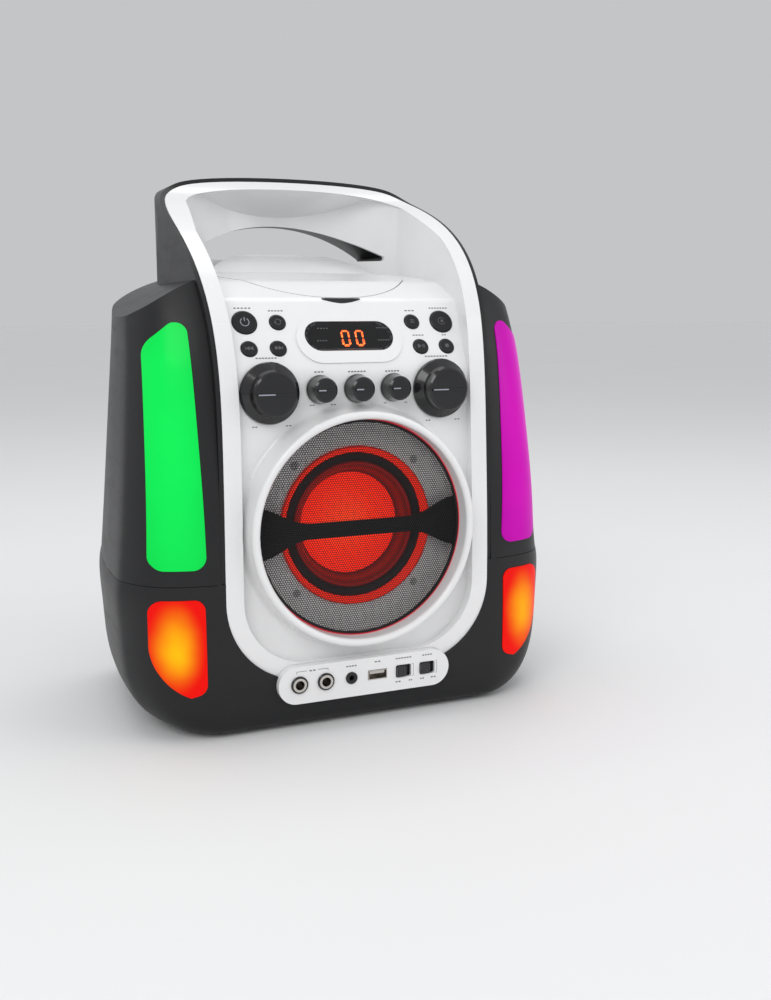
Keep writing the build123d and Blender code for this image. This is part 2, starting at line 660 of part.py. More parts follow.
def dust_cap():
    """Shallow dome seated on the cone."""
    rim_r, rim_y, rise, skin = 22.0, 40.6, 7.5, 0.8
    sphere_r = (rim_r ** 2 + rise ** 2) / (2 * rise)
    centre_y = rim_y - rise + sphere_r
    dome = Sphere(sphere_r) - Sphere(sphere_r - skin)
    dome = Pos(0, centre_y, SPEAKER_Z) * dome
    return dome & box(-40, 40, 0, rim_y, SPEAKER_Z - 40, SPEAKER_Z + 40)


# ---------------------------------------------------------------- controls
BUTTON_TRAVEL = 0.8
CAP_TOP = 1.1             # a button's cap stands this far out of the panel
SWITCH_TOP = BOARD_TOP + 2.4


def button(x, up, radius):
    """Cap, retaining flange and stem, turned about the panel's normal."""
    stem_end = SWITCH_TOP + BUTTON_TRAVEL + 0.1
    cap = turned_z((0, CAP_TOP), (radius - 0.9, CAP_TOP), (radius, CAP_TOP - 0.6), (radius, -2.9),
                   (radius + 1.1, -2.9),
                   (radius + 1.1, -3.9), (2.2, -3.9), (2.2, stem_end), (0, stem_end))
    return PANEL * Pos(x, up, 0) * cap


def knob(x, z, radius, height):
    """Skirted knob with a raised cap and a grip rib across it, turned about y."""
    back, top = PANEL_Y - 0.9, PANEL_Y - height
    cap_r = radius * 0.72 if radius > 15 else radius * 0.84
    bore = SHAFT_R + RUN
    low = BUSH_R + 1.0
    front_of_bush = PANEL_Y - 3.2
    body = turned_y(x, z, (top, 0), (top, cap_r - 1.2), (top + 1.0, cap_r), (back - 0.42 * height, cap_r + 0.6),
                    (back - 2.6, radius - 0.5), (back - 1.2, radius), (back, radius), (back, low),
                    (front_of_bush, low), (front_of_bush, bore), (top + 3.2, bore), (top + 3.2, 0))
    rib = box(x - cap_r + 2, x + cap_r - 2, top - 0.9, top + 0.5, z - 0.8, z + 0.8)
    return body + rib


def control_parts():
    for name, (x, up, radius) in BUTTONS.items():
        add(name, button(x, up, radius))
    for name, (x, z, radius, height) in KNOBS.items():
        add(name, knob(x, z, radius, height))
    pots = []
    for x, z, radius, height in KNOBS.values():
        back = PANEL_Y + WALL
        body = box(x - 8, x + 8, back + 0.6, back + 9, z - 9, z + 8) + rod_y(x, z, 4.6, back + 0.05, back + 1)
        bush = rod_y(x, z, BUSH_R, PANEL_Y - 2.6, back + 0.5)
        pots.append(body + bush + rod_y(x, z, SHAFT_R, PANEL_Y - height + 4, back))
    add("potentiometers", *pots)
    window = extrude(pill(WINDOW_HALF, WINDOW_H), amount=1.5)
    add("display_window", PANEL * Pos(0, 0, -0.6) * window)
    module_h = -0.8 - BOARD_TOP
    add("display_module", PANEL * Pos(0, 0, BOARD_TOP + module_h / 2) * Box(46, 15, module_h))
    board = PANEL * Pos(0, 0, BOARD_TOP - 0.8) * Box(166, 36, 1.6)
    for x, up, _ in BUTTONS.values():
        board = board + PANEL * Pos(x, up, (BOARD_TOP + SWITCH_TOP) / 2) * Box(6, 6, SWITCH_TOP - BOARD_TOP)
    pot_board = box(-78, 78, PANEL_Y + WALL + 9, PANEL_Y + WALL + 10.6, KNOB_Z - 9, KNOB_Z + 9)
    add("control_boards", board, pot_board)


# ---------------------------------------------------------------- jack panel
MIC_X = (-48.8, -29.8)
AUX_X, USB_X = -11.0, 8.5
SWITCH_X = {"function_switch_lever": 28.3, "light_switch_lever": 46.5}
JACK_Z = 34.0
PLATE_BACK = PILL_FRONT + WALL
MIC_BORE_R, AUX_BORE_R = 3.2, 1.8
USB_W, USB_H = 13.0, 5.6
SLOT_W, SLOT_H = 11.6, 9.0
LEVER_W, LEVER_H, LEVER_TRAVEL = 7.2, 7.8, 4.0


def jack_panel():
    """Pill-shaped box: front plate with holes and a wall that reaches back into the housings."""
    outer = Pos(0, PILL_Z) * pill(PILL_HALF, PILL_H)
    inner = Pos(0, PILL_Z) * pill(PILL_HALF - 2.2, PILL_H - 4.4)
    shell = prism_y(outer, PILL_FRONT, PILL_FRONT + PILL_DEPTH) - prism_y(inner, PLATE_BACK, 40)
    for x in MIC_X:
        shell = shell - rod_y(x, JACK_Z, 4.6, 0, 8)
    shell = shell - rod_y(AUX_X, JACK_Z, 3.2, 0, 8)
    shell = shell - box(USB_X - USB_W / 2 - 0.7, USB_X + USB_W / 2 + 0.7, 0, 8, JACK_Z - 3.5, JACK_Z + 3.5)
    for x in SWITCH_X.values():
        slot = Pos(x, JACK_Z) * RectangleRounded(SLOT_W + 0.3, SLOT_H, 1.5)
        shell = shell - prism_y(slot, 0, 8)
    return shell


def jack_parts():
    add("jack_panel", jack_panel())
    jacks = []
    for x in MIC_X:
        nut = turned_y(x, JACK_Z, (1.4, MIC_BORE_R), (1.4, 5.4), (2.0, 6.0), (PILL_FRONT, 6.0),
                       (PILL_FRONT, 4.5),
                       (PLATE_BACK, 4.5), (PLATE_BACK, MIC_BORE_R))
        body = box(x - 7.5, x + 7.5, PLATE_BACK, 30, JACK_Z - 8, JACK_Z + 7)
        jacks.append(nut + (body - rod_y(x, JACK_Z, MIC_BORE_R, 0, 28)))
    add("mic_jacks", *jacks)
    aux = turned_y(AUX_X, JACK_Z, (2.2, AUX_BORE_R), (2.2, 4.2), (PILL_FRONT, 4.2), (PILL_FRONT, 3.1),
                   (PLATE_BACK, 3.1), (PLATE_BACK, AUX_BORE_R))
    aux_body = box(AUX_X - 4.5, AUX_X + 4.5, PLATE_BACK, 19, JACK_Z - 6, JACK_Z + 4.5)
    add("aux_jack", aux + (aux_body - rod_y(AUX_X, JACK_Z, AUX_BORE_R, 0, 18)))
    half_w, half_h = USB_W / 2, USB_H / 2
    shell = box(USB_X - half_w - 0.5, USB_X + half_w + 0.5, 2.6, 19, JACK_Z - half_h - 0.5,
                JACK_Z + half_h + 0.5)
    shell = shell - box(USB_X - half_w, USB_X + half_w, 0, 18, JACK_Z - half_h, JACK_Z + half_h)
    tongue = box(USB_X - half_w + 1, USB_X + half_w - 1, 4, 18.5, JACK_Z + 0.4, JACK_Z + 2.2)
    add("usb_socket", shell + tongue)
    switches = []
    for name, x in SWITCH_X.items():
        body = box(x - 8, x + 8, PLATE_BACK + 1.6, PLATE_BACK + 8, JACK_Z - 5.5, JACK_Z + 5.5)
        bridge = box(x - 8, x - 6.4, PLATE_BACK, PLATE_BACK + 2, JACK_Z - 5.5, JACK_Z + 5.5)
        far_bridge = box(x + 6.4, x + 8, PLATE_BACK, PLATE_BACK + 2, JACK_Z - 5.5, JACK_Z + 5.5)
        switches.append(body + bridge + far_bridge)
        start = x - LEVER_TRAVEL / 2
        outline = Pos(start, JACK_Z) * RectangleRounded(LEVER_W, LEVER_H, 1.6)
        lever = prism_y(outline, 1.6, PLATE_BACK + 1.3)
        for k in range(-2, 3):
            groove = box(start + k * 1.3 - 0.3, start + k * 1.3 + 0.3, 1.0, 2.2, JACK_Z - 5, JACK_Z + 5)
            lever = lever - groove
        add(name, lever)
    add("slide_switches", *switches)


# ---------------------------------------------------------------- disc deck
SPINDLE_TOP_W = -11.0
WELL_FLANGE_R = 75.5
SLED_START = 25.0
SLED_TRAVEL = 33.0
ROD_V = 13.0
ROD_R = 1.5
ROD_W = -21.0
GEAR_M, GEAR_TEETH = 0.8, 20
GEAR_R = GEAR_M * GEAR_TEETH / 2
RACK_V = 21.0
GEAR_X = SLED_START + SLED_TRAVEL / 2
PRESSURE = math.radians(20)
BACKLASH = 0.2
CHASSIS_W = -29.0


def local_box(x0, x1, v0, v1, w0, w1):
    """A box in the deck's own frame, with v counted from the lid's axis."""
    return box(x0, x1, LID_V + v0, LID_V + v1, w0, w1)


def disc_lid():
    """Round lid: front facet, flat band, ridge at the back, hollow below, with two hinge arms."""
    low = -2.2
    ridge = LID_LINE[-1]
    profile = polygon((-10, low), (-10, 1.2), *LID_LINE, (150, ridge[1]), (150, low))
    profile = rounded(profile, (LID_LINE[1], LID_CREST_R), (ridge, 2))
    inner = polygon((-10, -8), (-10, -0.8), (LID_FRONT_V, 1.0), (36, 6.5), (104, 0.4), (136, 7.4), (150, 7.4),
                    (150, -8))
    disc = Pos(0, LID_V, 5) * Cylinder(LID_R, 16)
    room = Pos(0, LID_V, 5) * Cylinder(LID_R - 2.2, 28)
    lid = (disc & prism_x(profile, -80, 80)) - (room & prism_x(inner, -80, 80))
    for x in (-HINGE_X, HINGE_X):
        reach = LID_V + math.sqrt(LID_R ** 2 - (HINGE_X + ARM_W / 2) ** 2) - 4
        arm = box(x - ARM_W / 2, x + ARM_W / 2, reach, HINGE_V, HINGE_W - 0.4, HINGE_W + 3.6)
        eye = rod_x(HINGE_V, HINGE_W, ARM_R, x - ARM_W / 2, x + ARM_W / 2)
        lid = lid + (arm - room) + eye
        lid = lid - rod_x(HINGE_V, HINGE_W, PIN_R + RUN, x - ARM_W, x + ARM_W)
    return DECK * lid


def disc_well():
    """Round tray under the lid: flange below the deck, wall, floor with spindle hole and pickup slot."""
    tray = Pos(0, LID_V, 0) * turned_z((17, -16), (68, -16), (68, -4.6), (WELL_FLANGE_R, -4.6),
                                       (WELL_FLANGE_R, -2.6), (66, -2.6),
                                       (66, -14), (17, -14))
    tray = tray & box(-100, 100, 5.2, 300, -40, 10)
    tray = tray - local_box(15, 67, -9.5, 9.5, -20, -10)
    for x, v in ISOLATOR_SPOTS:
        post = rod_z(x, LID_V + v, 2.0, CHASSIS_W - 2, -15) - rod_z(x, LID_V + v, 1.25, CHASSIS_W - 3, -22)
        tray = tray + post
    return DECK * tray


ISOLATOR_SPOTS = [(-30, -34), (80, -34), (-30, 40), (80, 40)]


def involute(angle):
    return math.tan(angle) - angle


def gear_face():
    """Involute spur gear; a gap faces -y when it is unturned."""
    base = GEAR_R * math.cos(PRESSURE)
    radii = [GEAR_R - 1.15 * GEAR_M, base + 0.01, GEAR_R, GEAR_R + 0.45 * GEAR_M, GEAR_R + 0.9 * GEAR_M]
    half_tooth = math.pi / (2 * GEAR_TEETH) - BACKLASH / (2 * GEAR_R)
    flank = []
    for radius in radii:
        roll = involute(math.acos(min(1.0, base / radius)))
        flank.append((radius, half_tooth + involute(PRESSURE) - roll))
    points = []
    for tooth in range(GEAR_TEETH):
        middle = -math.pi / 2 + 2 * math.pi * (tooth + 0.5) / GEAR_TEETH
        for radius, spread in flank:
            points.append((radius * math.cos(middle - spread), radius * math.sin(middle - spread)))
        for radius, spread in reversed(flank):
            points.append((radius * math.cos(middle + spread), radius * math.sin(middle + spread)))
    return polygon(*points)


def rack_face():
    """Rack with a tooth pointing to +y at x = 0; its pitch line is y = 0."""
    pitch = math.pi * GEAR_M
    lean = math.tan(PRESSURE)
    half = pitch / 4 - BACKLASH / 2
    tip, root = 0.9 * GEAR_M, -1.15 * GEAR_M
    count = 8
    points = []
    for k in range(-count, count + 1):
        middle = k * pitch
        points += [(middle - half + root * lean, root), (middle - half + tip * lean, tip),
                   (middle + half - tip * lean, tip), (middle + half - root * lean, root)]
    end = count * pitch + 1.6
    return polygon((-end, -4), (-end, root), *points, (end, root), (end, -4))


def deck_parts():
    add("disc_lid", disc_lid())
    pins = []
    for x in (-HINGE_X, HINGE_X):
        pins.append(lid_place(HINGE_V, HINGE_W) * rod_x(0, 0, PIN_R, x - 7.5, x + 7.5))
    add("lid_hinge_pins", *pins)
    add("disc_well", disc_well())

    centre = lid_place(LID_V)
    hub = turned_z((0, -6.4), (5.6, -6.4), (7.4, -8), (7.4, SPINDLE_TOP_W), (14.5, SPINDLE_TOP_W),
                   (14.5, -13),
                   (4, -13), (4, -25), (1 + RUN, -25), (1 + RUN, -9), (0, -9))
    add("disc_spindle", centre * hub)
    motor = turned_z((0, -42), (12, -42), (12, CHASSIS_W), (5, CHASSIS_W), (5, -26.5), (1, -26.5),
                     (1, -10), (0, -10))
    add("spindle_motor", centre * motor)

    top = CHASSIS_W + 2
    plate = box(-38, 88, -42, 48, CHASSIS_W, top) - rod_z(0, 0, 5.2, -40, 0)
    for x, v in ISOLATOR_SPOTS:
        plate = plate - rod_z(x, v, 4.2, -40, 0)
    for v in (-ROD_V, ROD_V):
        for x in (SLED_START - 18, SLED_START + SLED_TRAVEL + 15):
            plate = plate + box(x, x + 3, v - 3, v + 3, top - 0.5, ROD_W + 3) - rod_x(v, ROD_W, ROD_R, x - 1, x + 4)
    gear_v = RACK_V + GEAR_R
    plate = plate + rod_z(GEAR_X, gear_v, 4, top - 0.5, -24.3) + rod_z(GEAR_X, gear_v, 1.5, top, -19)
    add("mechanism_chassis", centre * plate)

    rings = []
    for x, v in ISOLATOR_SPOTS:
        ring = turned_z((2.05, CHASSIS_W - 2), (6, CHASSIS_W - 2), (6, CHASSIS_W), (4.1, CHASSIS_W),
                        (4.1, top),
                        (6, top), (6, top + 2), (2.05, top + 2))
        rings.append(centre * Pos(x, v, 0) * ring)
    add("rubber_isolators", *rings)
    low = CHASSIS_W - 2
    screw = turned_z((0, low - 2), (4.6, low - 2), (5, low - 1.4), (5, low - 0.05), (1.2, low - 0.05),
                     (1.2, -23),
                     (0, -23))
    screw = screw - box(-3, 3, -0.4, 0.4, low - 3, low - 1.2) - box(-0.4, 0.4, -3, 3, low - 3, low - 1.2)
    parts["housing_screws"] += tuple(centre * Pos(x, v, 0) * screw for x, v in ISOLATOR_SPOTS)
    rod_ends = (SLED_START - 18, SLED_START + SLED_TRAVEL + 18)
    rods = [centre * rod_x(v, ROD_W, ROD_R, *rod_ends) for v in (-ROD_V, ROD_V)]
    add("guide_rods", *rods)

    body = box(SLED_START - 11, SLED_START + 11, -17, 17, ROD_W - 3.4, ROD_W + 3.4)
    for v in (-ROD_V, ROD_V):
        body = body - rod_x(v, ROD_W, ROD_R + RUN, -100, 200)
    arm = box(SLED_START - 6, SLED_START + 6, 15, RACK_V - 3, -23.8, -20.2)
    rack = prism_z(Pos(GEAR_X - 7 * math.pi * GEAR_M, RACK_V) * rack_face(), -23.8, -20.2)
    tower_block = rod_z(SLED_START, 0, 7.5, ROD_W + 3, -14.4)
    add("pickup_sled", centre * (body + arm + rack + tower_block))
    add("pickup_lens", centre * Pos(SLED_START, 0, 0) * turned_z((0, -14.4), (3.2, -14.4), (3.2, -13.6),
                                                                 (2.2, -13.2),
                                                                 (0, -13.0)))
    gear = prism_z(gear_face(), -24.0, -20.0) - rod_z(0, 0, 1.5 + RUN, -30, 0)
    add("sled_gear", centre * Pos(GEAR_X, gear_v, 0) * gear)


# ---------------------------------------------------------------- electronics
def electronics():
    board = box(-30, 110, 50, 160, BOARD_Z, BOARD_Z + 1.6)
    sink = box(50, 100, 120, 150, BOARD_Z + 1.6, BOARD_Z + 6)
    for k in range(6):
        sink = sink + box(50, 100, 120 + k * 5.6, 122 + k * 5.6, BOARD_Z + 5, BOARD_Z + 30)
    caps = [rod_z(x, 80, 8, BOARD_Z + 1.6, BOARD_Z + 26) for x in (-10, 12)]
    add("main_board", union([board, sink, *caps]))

    low = BOARD_Z
    core = box(-110, -46, 92, 148, low, low + 4) + box(-104, -52, 97, 143, low + 3, low + 46)
    coil = box(-97, -59, 88, 152, low + 10, low + 38)
    add("power_transformer", core + coil)

    inlet = box(INLET_X - 11.8, INLET_X + 11.8, REAR_Y - 16, REAR_Y + 0.5, INLET_Z - 7.3, INLET_Z + 7.3)
    flange = box(INLET_X - 14, INLET_X + 14, REAR_Y + 0.1, REAR_Y + 1.8, INLET_Z - 9, INLET_Z + 9)
    cavity = prism_y(Pos(INLET_X, INLET_Z) * SlotOverall(15.4, 8.2), REAR_Y - 12, REAR_Y + 5)
    socket = inlet + flange - cavity
    for dx in (-4.2, 4.2):
        socket = socket + rod_y(INLET_X + dx, INLET_Z, 1.2, REAR_Y - 13, REAR_Y - 2)
    add("mains_inlet", socket)

    jacks = []
    for x in RCA_X:
        body = box(x - 5.5, x + 5.5, REAR_Y - 14, REAR_Y - WALL - 0.05, INLET_Z - 6.5, INLET_Z + 6.5)
        barrel = rod_y(x, INLET_Z, 4.15, REAR_Y - 6, REAR_Y + BARREL_L)
        collar = rod_y(x, INLET_Z, 5.5, REAR_Y + 0.05, REAR_Y + 1.6)
        jacks.append(body + barrel + collar - rod_y(x, INLET_Z, 1.6, REAR_Y - 4, REAR_Y + 10))
    add("video_jacks", *jacks)

    lights = []
    for side in (-1, 1):
        for form, x, y, z0, z1 in ((upper_form, 127, 48, 125, 255), (base_form, 127, 44, 44, 90)):
            x *= side
            strip = box(x - 8, x + 8, y, y + 1.6, z0, z1)
            behind_lens = form(WALL - 0.1)
            for z in (z0 + 8, z1 - 8):
                strip = strip + (rod_y(x, z, 2.5, -5, y + 0.5) & behind_lens)
            lights.append(strip)
    add("light_boards", *lights)


# ---------------------------------------------------------------- the whole
CENTRE_Y = (REAR_Y + BARREL_L - RING_CREST) / 2


def export():
    os.makedirs("parts", exist_ok=True)
    for name, shapes in parts.items():
        solids = [solid for shape in shapes for solid in shape.solids()]
        moved = [Pos(0, -CENTRE_Y, 0) * solid for solid in solids]
        whole = moved[0] if len(moved) == 1 else Compound(children=moved)
        export_step(whole, f"parts/{name}.step")


def main():
    add("front_fascia", front_fascia())
    add("back_housing", back_housing())
    add("base_housing", base_housing())
    for side, word in ((-1, "left"), (1, "right")):
        add(f"{word}_side_cover", side_cover(side))
        add(f"{word}_light_lens", light_lens(side))
        add(f"{word}_corner_lens", corner_lens(side))
    fixings()
    speaker_parts()
    control_parts()
    jack_parts()
    deck_parts()
    electronics()
    export()


main()
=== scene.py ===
import math

import bpy
import numpy as np
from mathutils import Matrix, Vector


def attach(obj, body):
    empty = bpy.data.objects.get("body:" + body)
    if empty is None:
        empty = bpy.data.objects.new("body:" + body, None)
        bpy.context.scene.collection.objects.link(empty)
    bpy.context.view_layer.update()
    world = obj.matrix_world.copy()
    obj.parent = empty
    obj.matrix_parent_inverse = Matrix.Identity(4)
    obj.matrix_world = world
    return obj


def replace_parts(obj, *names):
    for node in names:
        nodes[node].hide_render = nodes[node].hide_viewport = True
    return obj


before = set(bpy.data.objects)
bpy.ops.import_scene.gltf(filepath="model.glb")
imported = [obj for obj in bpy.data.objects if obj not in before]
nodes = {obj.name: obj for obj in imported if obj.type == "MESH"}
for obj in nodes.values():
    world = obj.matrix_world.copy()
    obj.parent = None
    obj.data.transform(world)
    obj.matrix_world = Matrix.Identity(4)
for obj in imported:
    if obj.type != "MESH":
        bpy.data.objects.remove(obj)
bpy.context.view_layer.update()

MM = 0.001

# ------------------------------------------------------------------ places on the machine, in millimetres
# x runs to the right, y back from the plane of the speaker opening and z up from the table.
BACK_SHIFT = 105.85            # the row's origin lies this far behind the plane of the speaker opening
SPEAKER_Z = 137.0
OPENING_R = 75.0
SEAM_Z = 107.0                 # joint between the base and the upper housings

PANEL_Y = 16.5                 # upright lower part of the control panel
PANEL_LEAN = math.radians(28.5)
PANEL_BEND_Z = 241.9           # where the upright and leaning parts would meet in a sharp edge
BEND_R = 24.0
DISPLAY_Z = 266.0
DISPLAY_Y = PANEL_Y + (DISPLAY_Z - PANEL_BEND_Z) * math.tan(PANEL_LEAN)
HIGH_ROW = (275.6 - DISPLAY_Z) / math.cos(PANEL_LEAN)    # rows of buttons, along the panel from the display
LOW_ROW = (258.6 - DISPLAY_Z) / math.cos(PANEL_LEAN)

FOLD = np.array([43.4, 291.5])  # y and z of the edge between the panel and the deck
DECK_SLOPE = math.radians(12)
LID_SEAT_R = 72.0

JACK_Z = 34.0
JACK_PRINT_Y = 2.98            # prints lie this far behind the speaker opening, on the jack panel
MIC_MIDDLE_X = -39.3
MIC_HALF_PITCH = 9.5
MIC_SLEEVE_R = 4.7
SWITCHES_X = (28.3, 46.5)

SIDE = np.array([1.0, 0.0, 0.0])
UP = np.array([0.0, 0.0, 1.0])
PANEL_UP = np.array([0.0, math.sin(PANEL_LEAN), math.cos(PANEL_LEAN)])
PANEL_OUT = np.array([0.0, -math.cos(PANEL_LEAN), math.sin(PANEL_LEAN)])


def on_panel(x, up, out):
    """A point of the leaning panel: x across, up along it from the display's middle and out of its face."""
    return np.array([0.0, DISPLAY_Y, DISPLAY_Z]) + SIDE * x + PANEL_UP * up + PANEL_OUT * out


# ------------------------------------------------------------------ mesh making
def place(points):
    """Millimetres about the speaker opening to metres about the row's origin."""
    return (np.asarray(points, float) - [0.0, BACK_SHIFT, 0.0]) * MM


def finish_piece(name, points, faces, finish, body="housing", smooth=False):
    """Puts points (mm) and faces into one mesh object at the origin, paints it and rides it on a body."""
    mesh = bpy.data.meshes.new(name)
    mesh.from_pydata(place(points).tolist(), [], [list(map(int, face)) for face in faces])
    mesh.validate()
    mesh.update()
    mesh.polygons.foreach_set("use_smooth", np.full(len(mesh.polygons), smooth))
    piece = bpy.data.objects.new(name, mesh)
    bpy.context.scene.collection.objects.link(piece)
    mesh.materials.append(finish)
    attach(piece, body)
    return piece


def closed_grid(rings):
    """Faces over rings of points (rows, around, 3), each ring closed, the first and last filled by fans.

    Quads join ring i to ring i + 1; the two poles are the means of the end rings."""
    rows, around, _ = rings.shape
    points = np.concatenate([rings.reshape(-1, 3), rings[:1].mean(1), rings[-1:].mean(1)])
    i, j = np.meshgrid(np.arange(rows - 1), np.arange(around), indexing="ij")
    turn = (j + 1) % around
    quads = np.stack([i * around + j, i * around + turn, (i + 1) * around + turn, (i + 1) * around + j], -1)
    j = np.arange(around)
    turn = (j + 1) % around
    low, high = rows * around, rows * around + 1
    first = np.stack([np.full(around, low), turn, j], -1)
    last = np.stack([np.full(around, high), (rows - 1) * around + j, (rows - 1) * around + turn], -1)
    return points, [*quads.reshape(-1, 4), *first, *last]


def torus_grid(grid):
    """Faces over a grid (m, n, 3) that closes on itself both ways."""
    m, n, _ = grid.shape
    i, j = np.meshgrid(np.arange(m), np.arange(n), indexing="ij")
    i2, j2 = (i + 1) % m, (j + 1) % n
    quads = np.stack([i * n + j, i * n + j2, i2 * n + j2, i2 * n + j], -1)
    return grid.reshape(-1, 3), list(quads.reshape(-1, 4))


def joined(pieces):
    """Several (points, faces) pairs as one."""
    points, faces, count = [], [], 0
    for some, over in pieces:
        points.append(some)
        faces += [np.asarray(face) + count for face in over]
        count += len(some)
    return np.concatenate(points), faces


def outline_rounded(half_a, half_b, power, around):
    """Superellipse (a sgn(cos t) |cos t|^(2/p), b sgn(sin t) |sin t|^(2/p)), its points off the axes."""
    off_axis = 0.01
    t = np.linspace(0, 2 * math.pi, around, endpoint=False) + off_axis
    c, s = np.cos(t), np.sin(t)
    a = half_a * np.sign(c) * np.abs(c) ** (2 / power)
    b = half_b * np.sign(s) * np.abs(s) ** (2 / power)
    return np.stack([a, b], -1)


PRINT_THICK = 0.05
SUNK = 0.3                     # share of a print's thickness that lies below the surface


def print_pad(centre, along, up, outline, thick=PRINT_THICK):
    """A flat mark: the outline laid at centre on the axes along and up, thick mm high, its rim bevelled."""
    out = np.cross(along, up)
    shoulder, top = 0.7, 0.93
    rings = [centre + (outline[:, :1] * along + outline[:, 1:] * up) * grow + out * (thick * rise)
             for grow, rise in ((1.0, -SUNK), (1.0, shoulder), (top, 1.0))]
    return closed_grid(np.stack(rings))


def arc_band(centre, along, up, radius, width, start, end, steps=40):
    """A curved mark: a flat rectangle carried along an arc from start to end (degrees)."""
    out = np.cross(along, up)
    t = np.radians(np.linspace(start, end, steps))[:, None, None]
    low, high, half = -SUNK * PRINT_THICK, PRINT_THICK, width / 2
    section = np.array([[-half, low], [half, low], [half, high], [-half, high]])[None]
    r = radius + section[..., :1]
    rings = centre + r * np.cos(t) * along + r * np.sin(t) * up + section[..., 1:] * out
    return closed_grid(rings[::-1])


def dashes(spot, up, width, pitch, half_tall, half_long=None):
    """A row of short plain dashes over the width, each about one pitch long, in place of a printed word."""
    drawn_share = 0.36
    count = max(2, int(width / pitch))
    step = width / count
    bar = outline_rounded(half_long or step * drawn_share, half_tall, 4.0, 12)
    return [print_pad(spot + SIDE * dx, SIDE, up, bar) for dx in (np.arange(count) - (count - 1) / 2) * step]


# ------------------------------------------------------------------ shader nodes
MIX_A, MIX_B, MIX_OUT = 6, 7, 2  # the colour sockets of a Mix node


def node(tree, kind, links=(), **values):
    """One node with its properties, plain socket values and incoming links: (socket, source)."""
    made = tree.nodes.new(kind)
    for key, value in values.items():
        setattr(made, key, value)
    for key, value in links:
        target = made.inputs[key]
        if isinstance(value, bpy.types.NodeSocket):
            tree.links.new(value, target)
        else:
            target.default_value = value
    return made


def maths(tree, operation, *values, clamp=False):
    """Result of one Math node over plain values and sockets."""
    return node(tree, "ShaderNodeMath", enumerate(values), operation=operation, use_clamp=clamp).outputs[0]


def noise(tree, where, scale, detail=2.0, roughness=0.5):
    """Cloudy value from 0 to 1."""
    return node(tree, "ShaderNodeTexNoise", [("Vector", where), ("Scale", scale), ("Detail", detail),
                                             ("Roughness", roughness)]).outputs["Fac"]


def stretched(tree, where, scale):
    """Coordinates with a scale of their own along each axis."""
    return node(tree, "ShaderNodeMapping", [("Vector", where), ("Scale", scale)]).outputs[0]


def ramped(tree, value, low, high, at_low=0.0, at_high=1.0):
    """Straight ramp between two input levels, level beyond them."""
    return node(tree, "ShaderNodeMapRange", [("Value", value), ("From Min", low), ("From Max", high),
                                             ("To Min", at_low), ("To Max", at_high)]).outputs[0]


def blended(tree, share, low, high):
    """Colour from low to high by a share; each end is a colour of three numbers or a socket."""
    ends = [end if isinstance(end, bpy.types.NodeSocket) else (*end, 1.0) for end in (low, high)]
    return node(tree, "ShaderNodeMix", [(0, share), (MIX_A, ends[0]), (MIX_B, ends[1])],
                data_type="RGBA").outputs[MIX_OUT]


def bumped(tree, shader, height, strength, distance_mm):
    """Bumps the shader's normal by a height."""
    bump = node(tree, "ShaderNodeBump", [("Height", height), ("Strength", strength),
                                         ("Distance", distance_mm * MM)])
    tree.links.new(bump.outputs[0], shader.inputs["Normal"])


# ------------------------------------------------------------------ shader groups
def shared_group(name, settings, results):
    """A node group with a Vector input, float inputs named in settings and float outputs named in results."""
    group = bpy.data.node_groups.new(name, "ShaderNodeTree")
    group.interface.new_socket(name="Vector", in_out="INPUT", socket_type="NodeSocketVector")
    for title, value in settings.items():
        made = group.interface.new_socket(name=title, in_out="INPUT", socket_type="NodeSocketFloat")
        made.default_value = value
    for title in results:
        group.interface.new_socket(name=title, in_out="OUTPUT", socket_type="NodeSocketFloat")
    return group, group.nodes.new("NodeGroupInput").outputs, group.nodes.new("NodeGroupOutput").inputs


def moulded_grain():
    """Spark-eroded grain of a moulding: cells mixed with finer noise as a height, and a broad mottle."""
    finer, broad = 2.3, 14.0
    group, start, end = shared_group("moulded_grain", {"Cells": 900.0, "Mix": 0.5}, ["Height", "Mottle"])
    cells = node(group, "ShaderNodeTexVoronoi", [("Vector", start["Vector"]), ("Scale", start["Cells"])],
                 feature="SMOOTH_F1")
    fine = noise(group, start["Vector"], maths(group, "MULTIPLY", start["Cells"], finer), 3.0)
    blend = node(group, "ShaderNodeMix", [(0, start["Mix"]), (2, cells.outputs["Distance"]), (3, fine)])
    group.links.new(blend.outputs[0], end["Height"])
    group.links.new(noise(group, start["Vector"], broad, 4.0), end["Mottle"])
    return group


def handling_marks():
    """Faint smears and dust of use: a noise squeezed along z and cut between two levels, as a mask."""
    clean, smeared = 0.48, 0.72
    group, start, end = shared_group("handling_marks", {"Scale": 30.0, "Amount": 0.5}, ["Mask"])
    smear = noise(group, stretched(group, start["Vector"], (1.0, 1.0, 3.5)), start["Scale"], 6.0, 0.65)
    mask = maths(group, "MULTIPLY", ramped(group, smear, clean, smeared), start["Amount"])
    group.links.new(mask, end["Mask"])
    return group


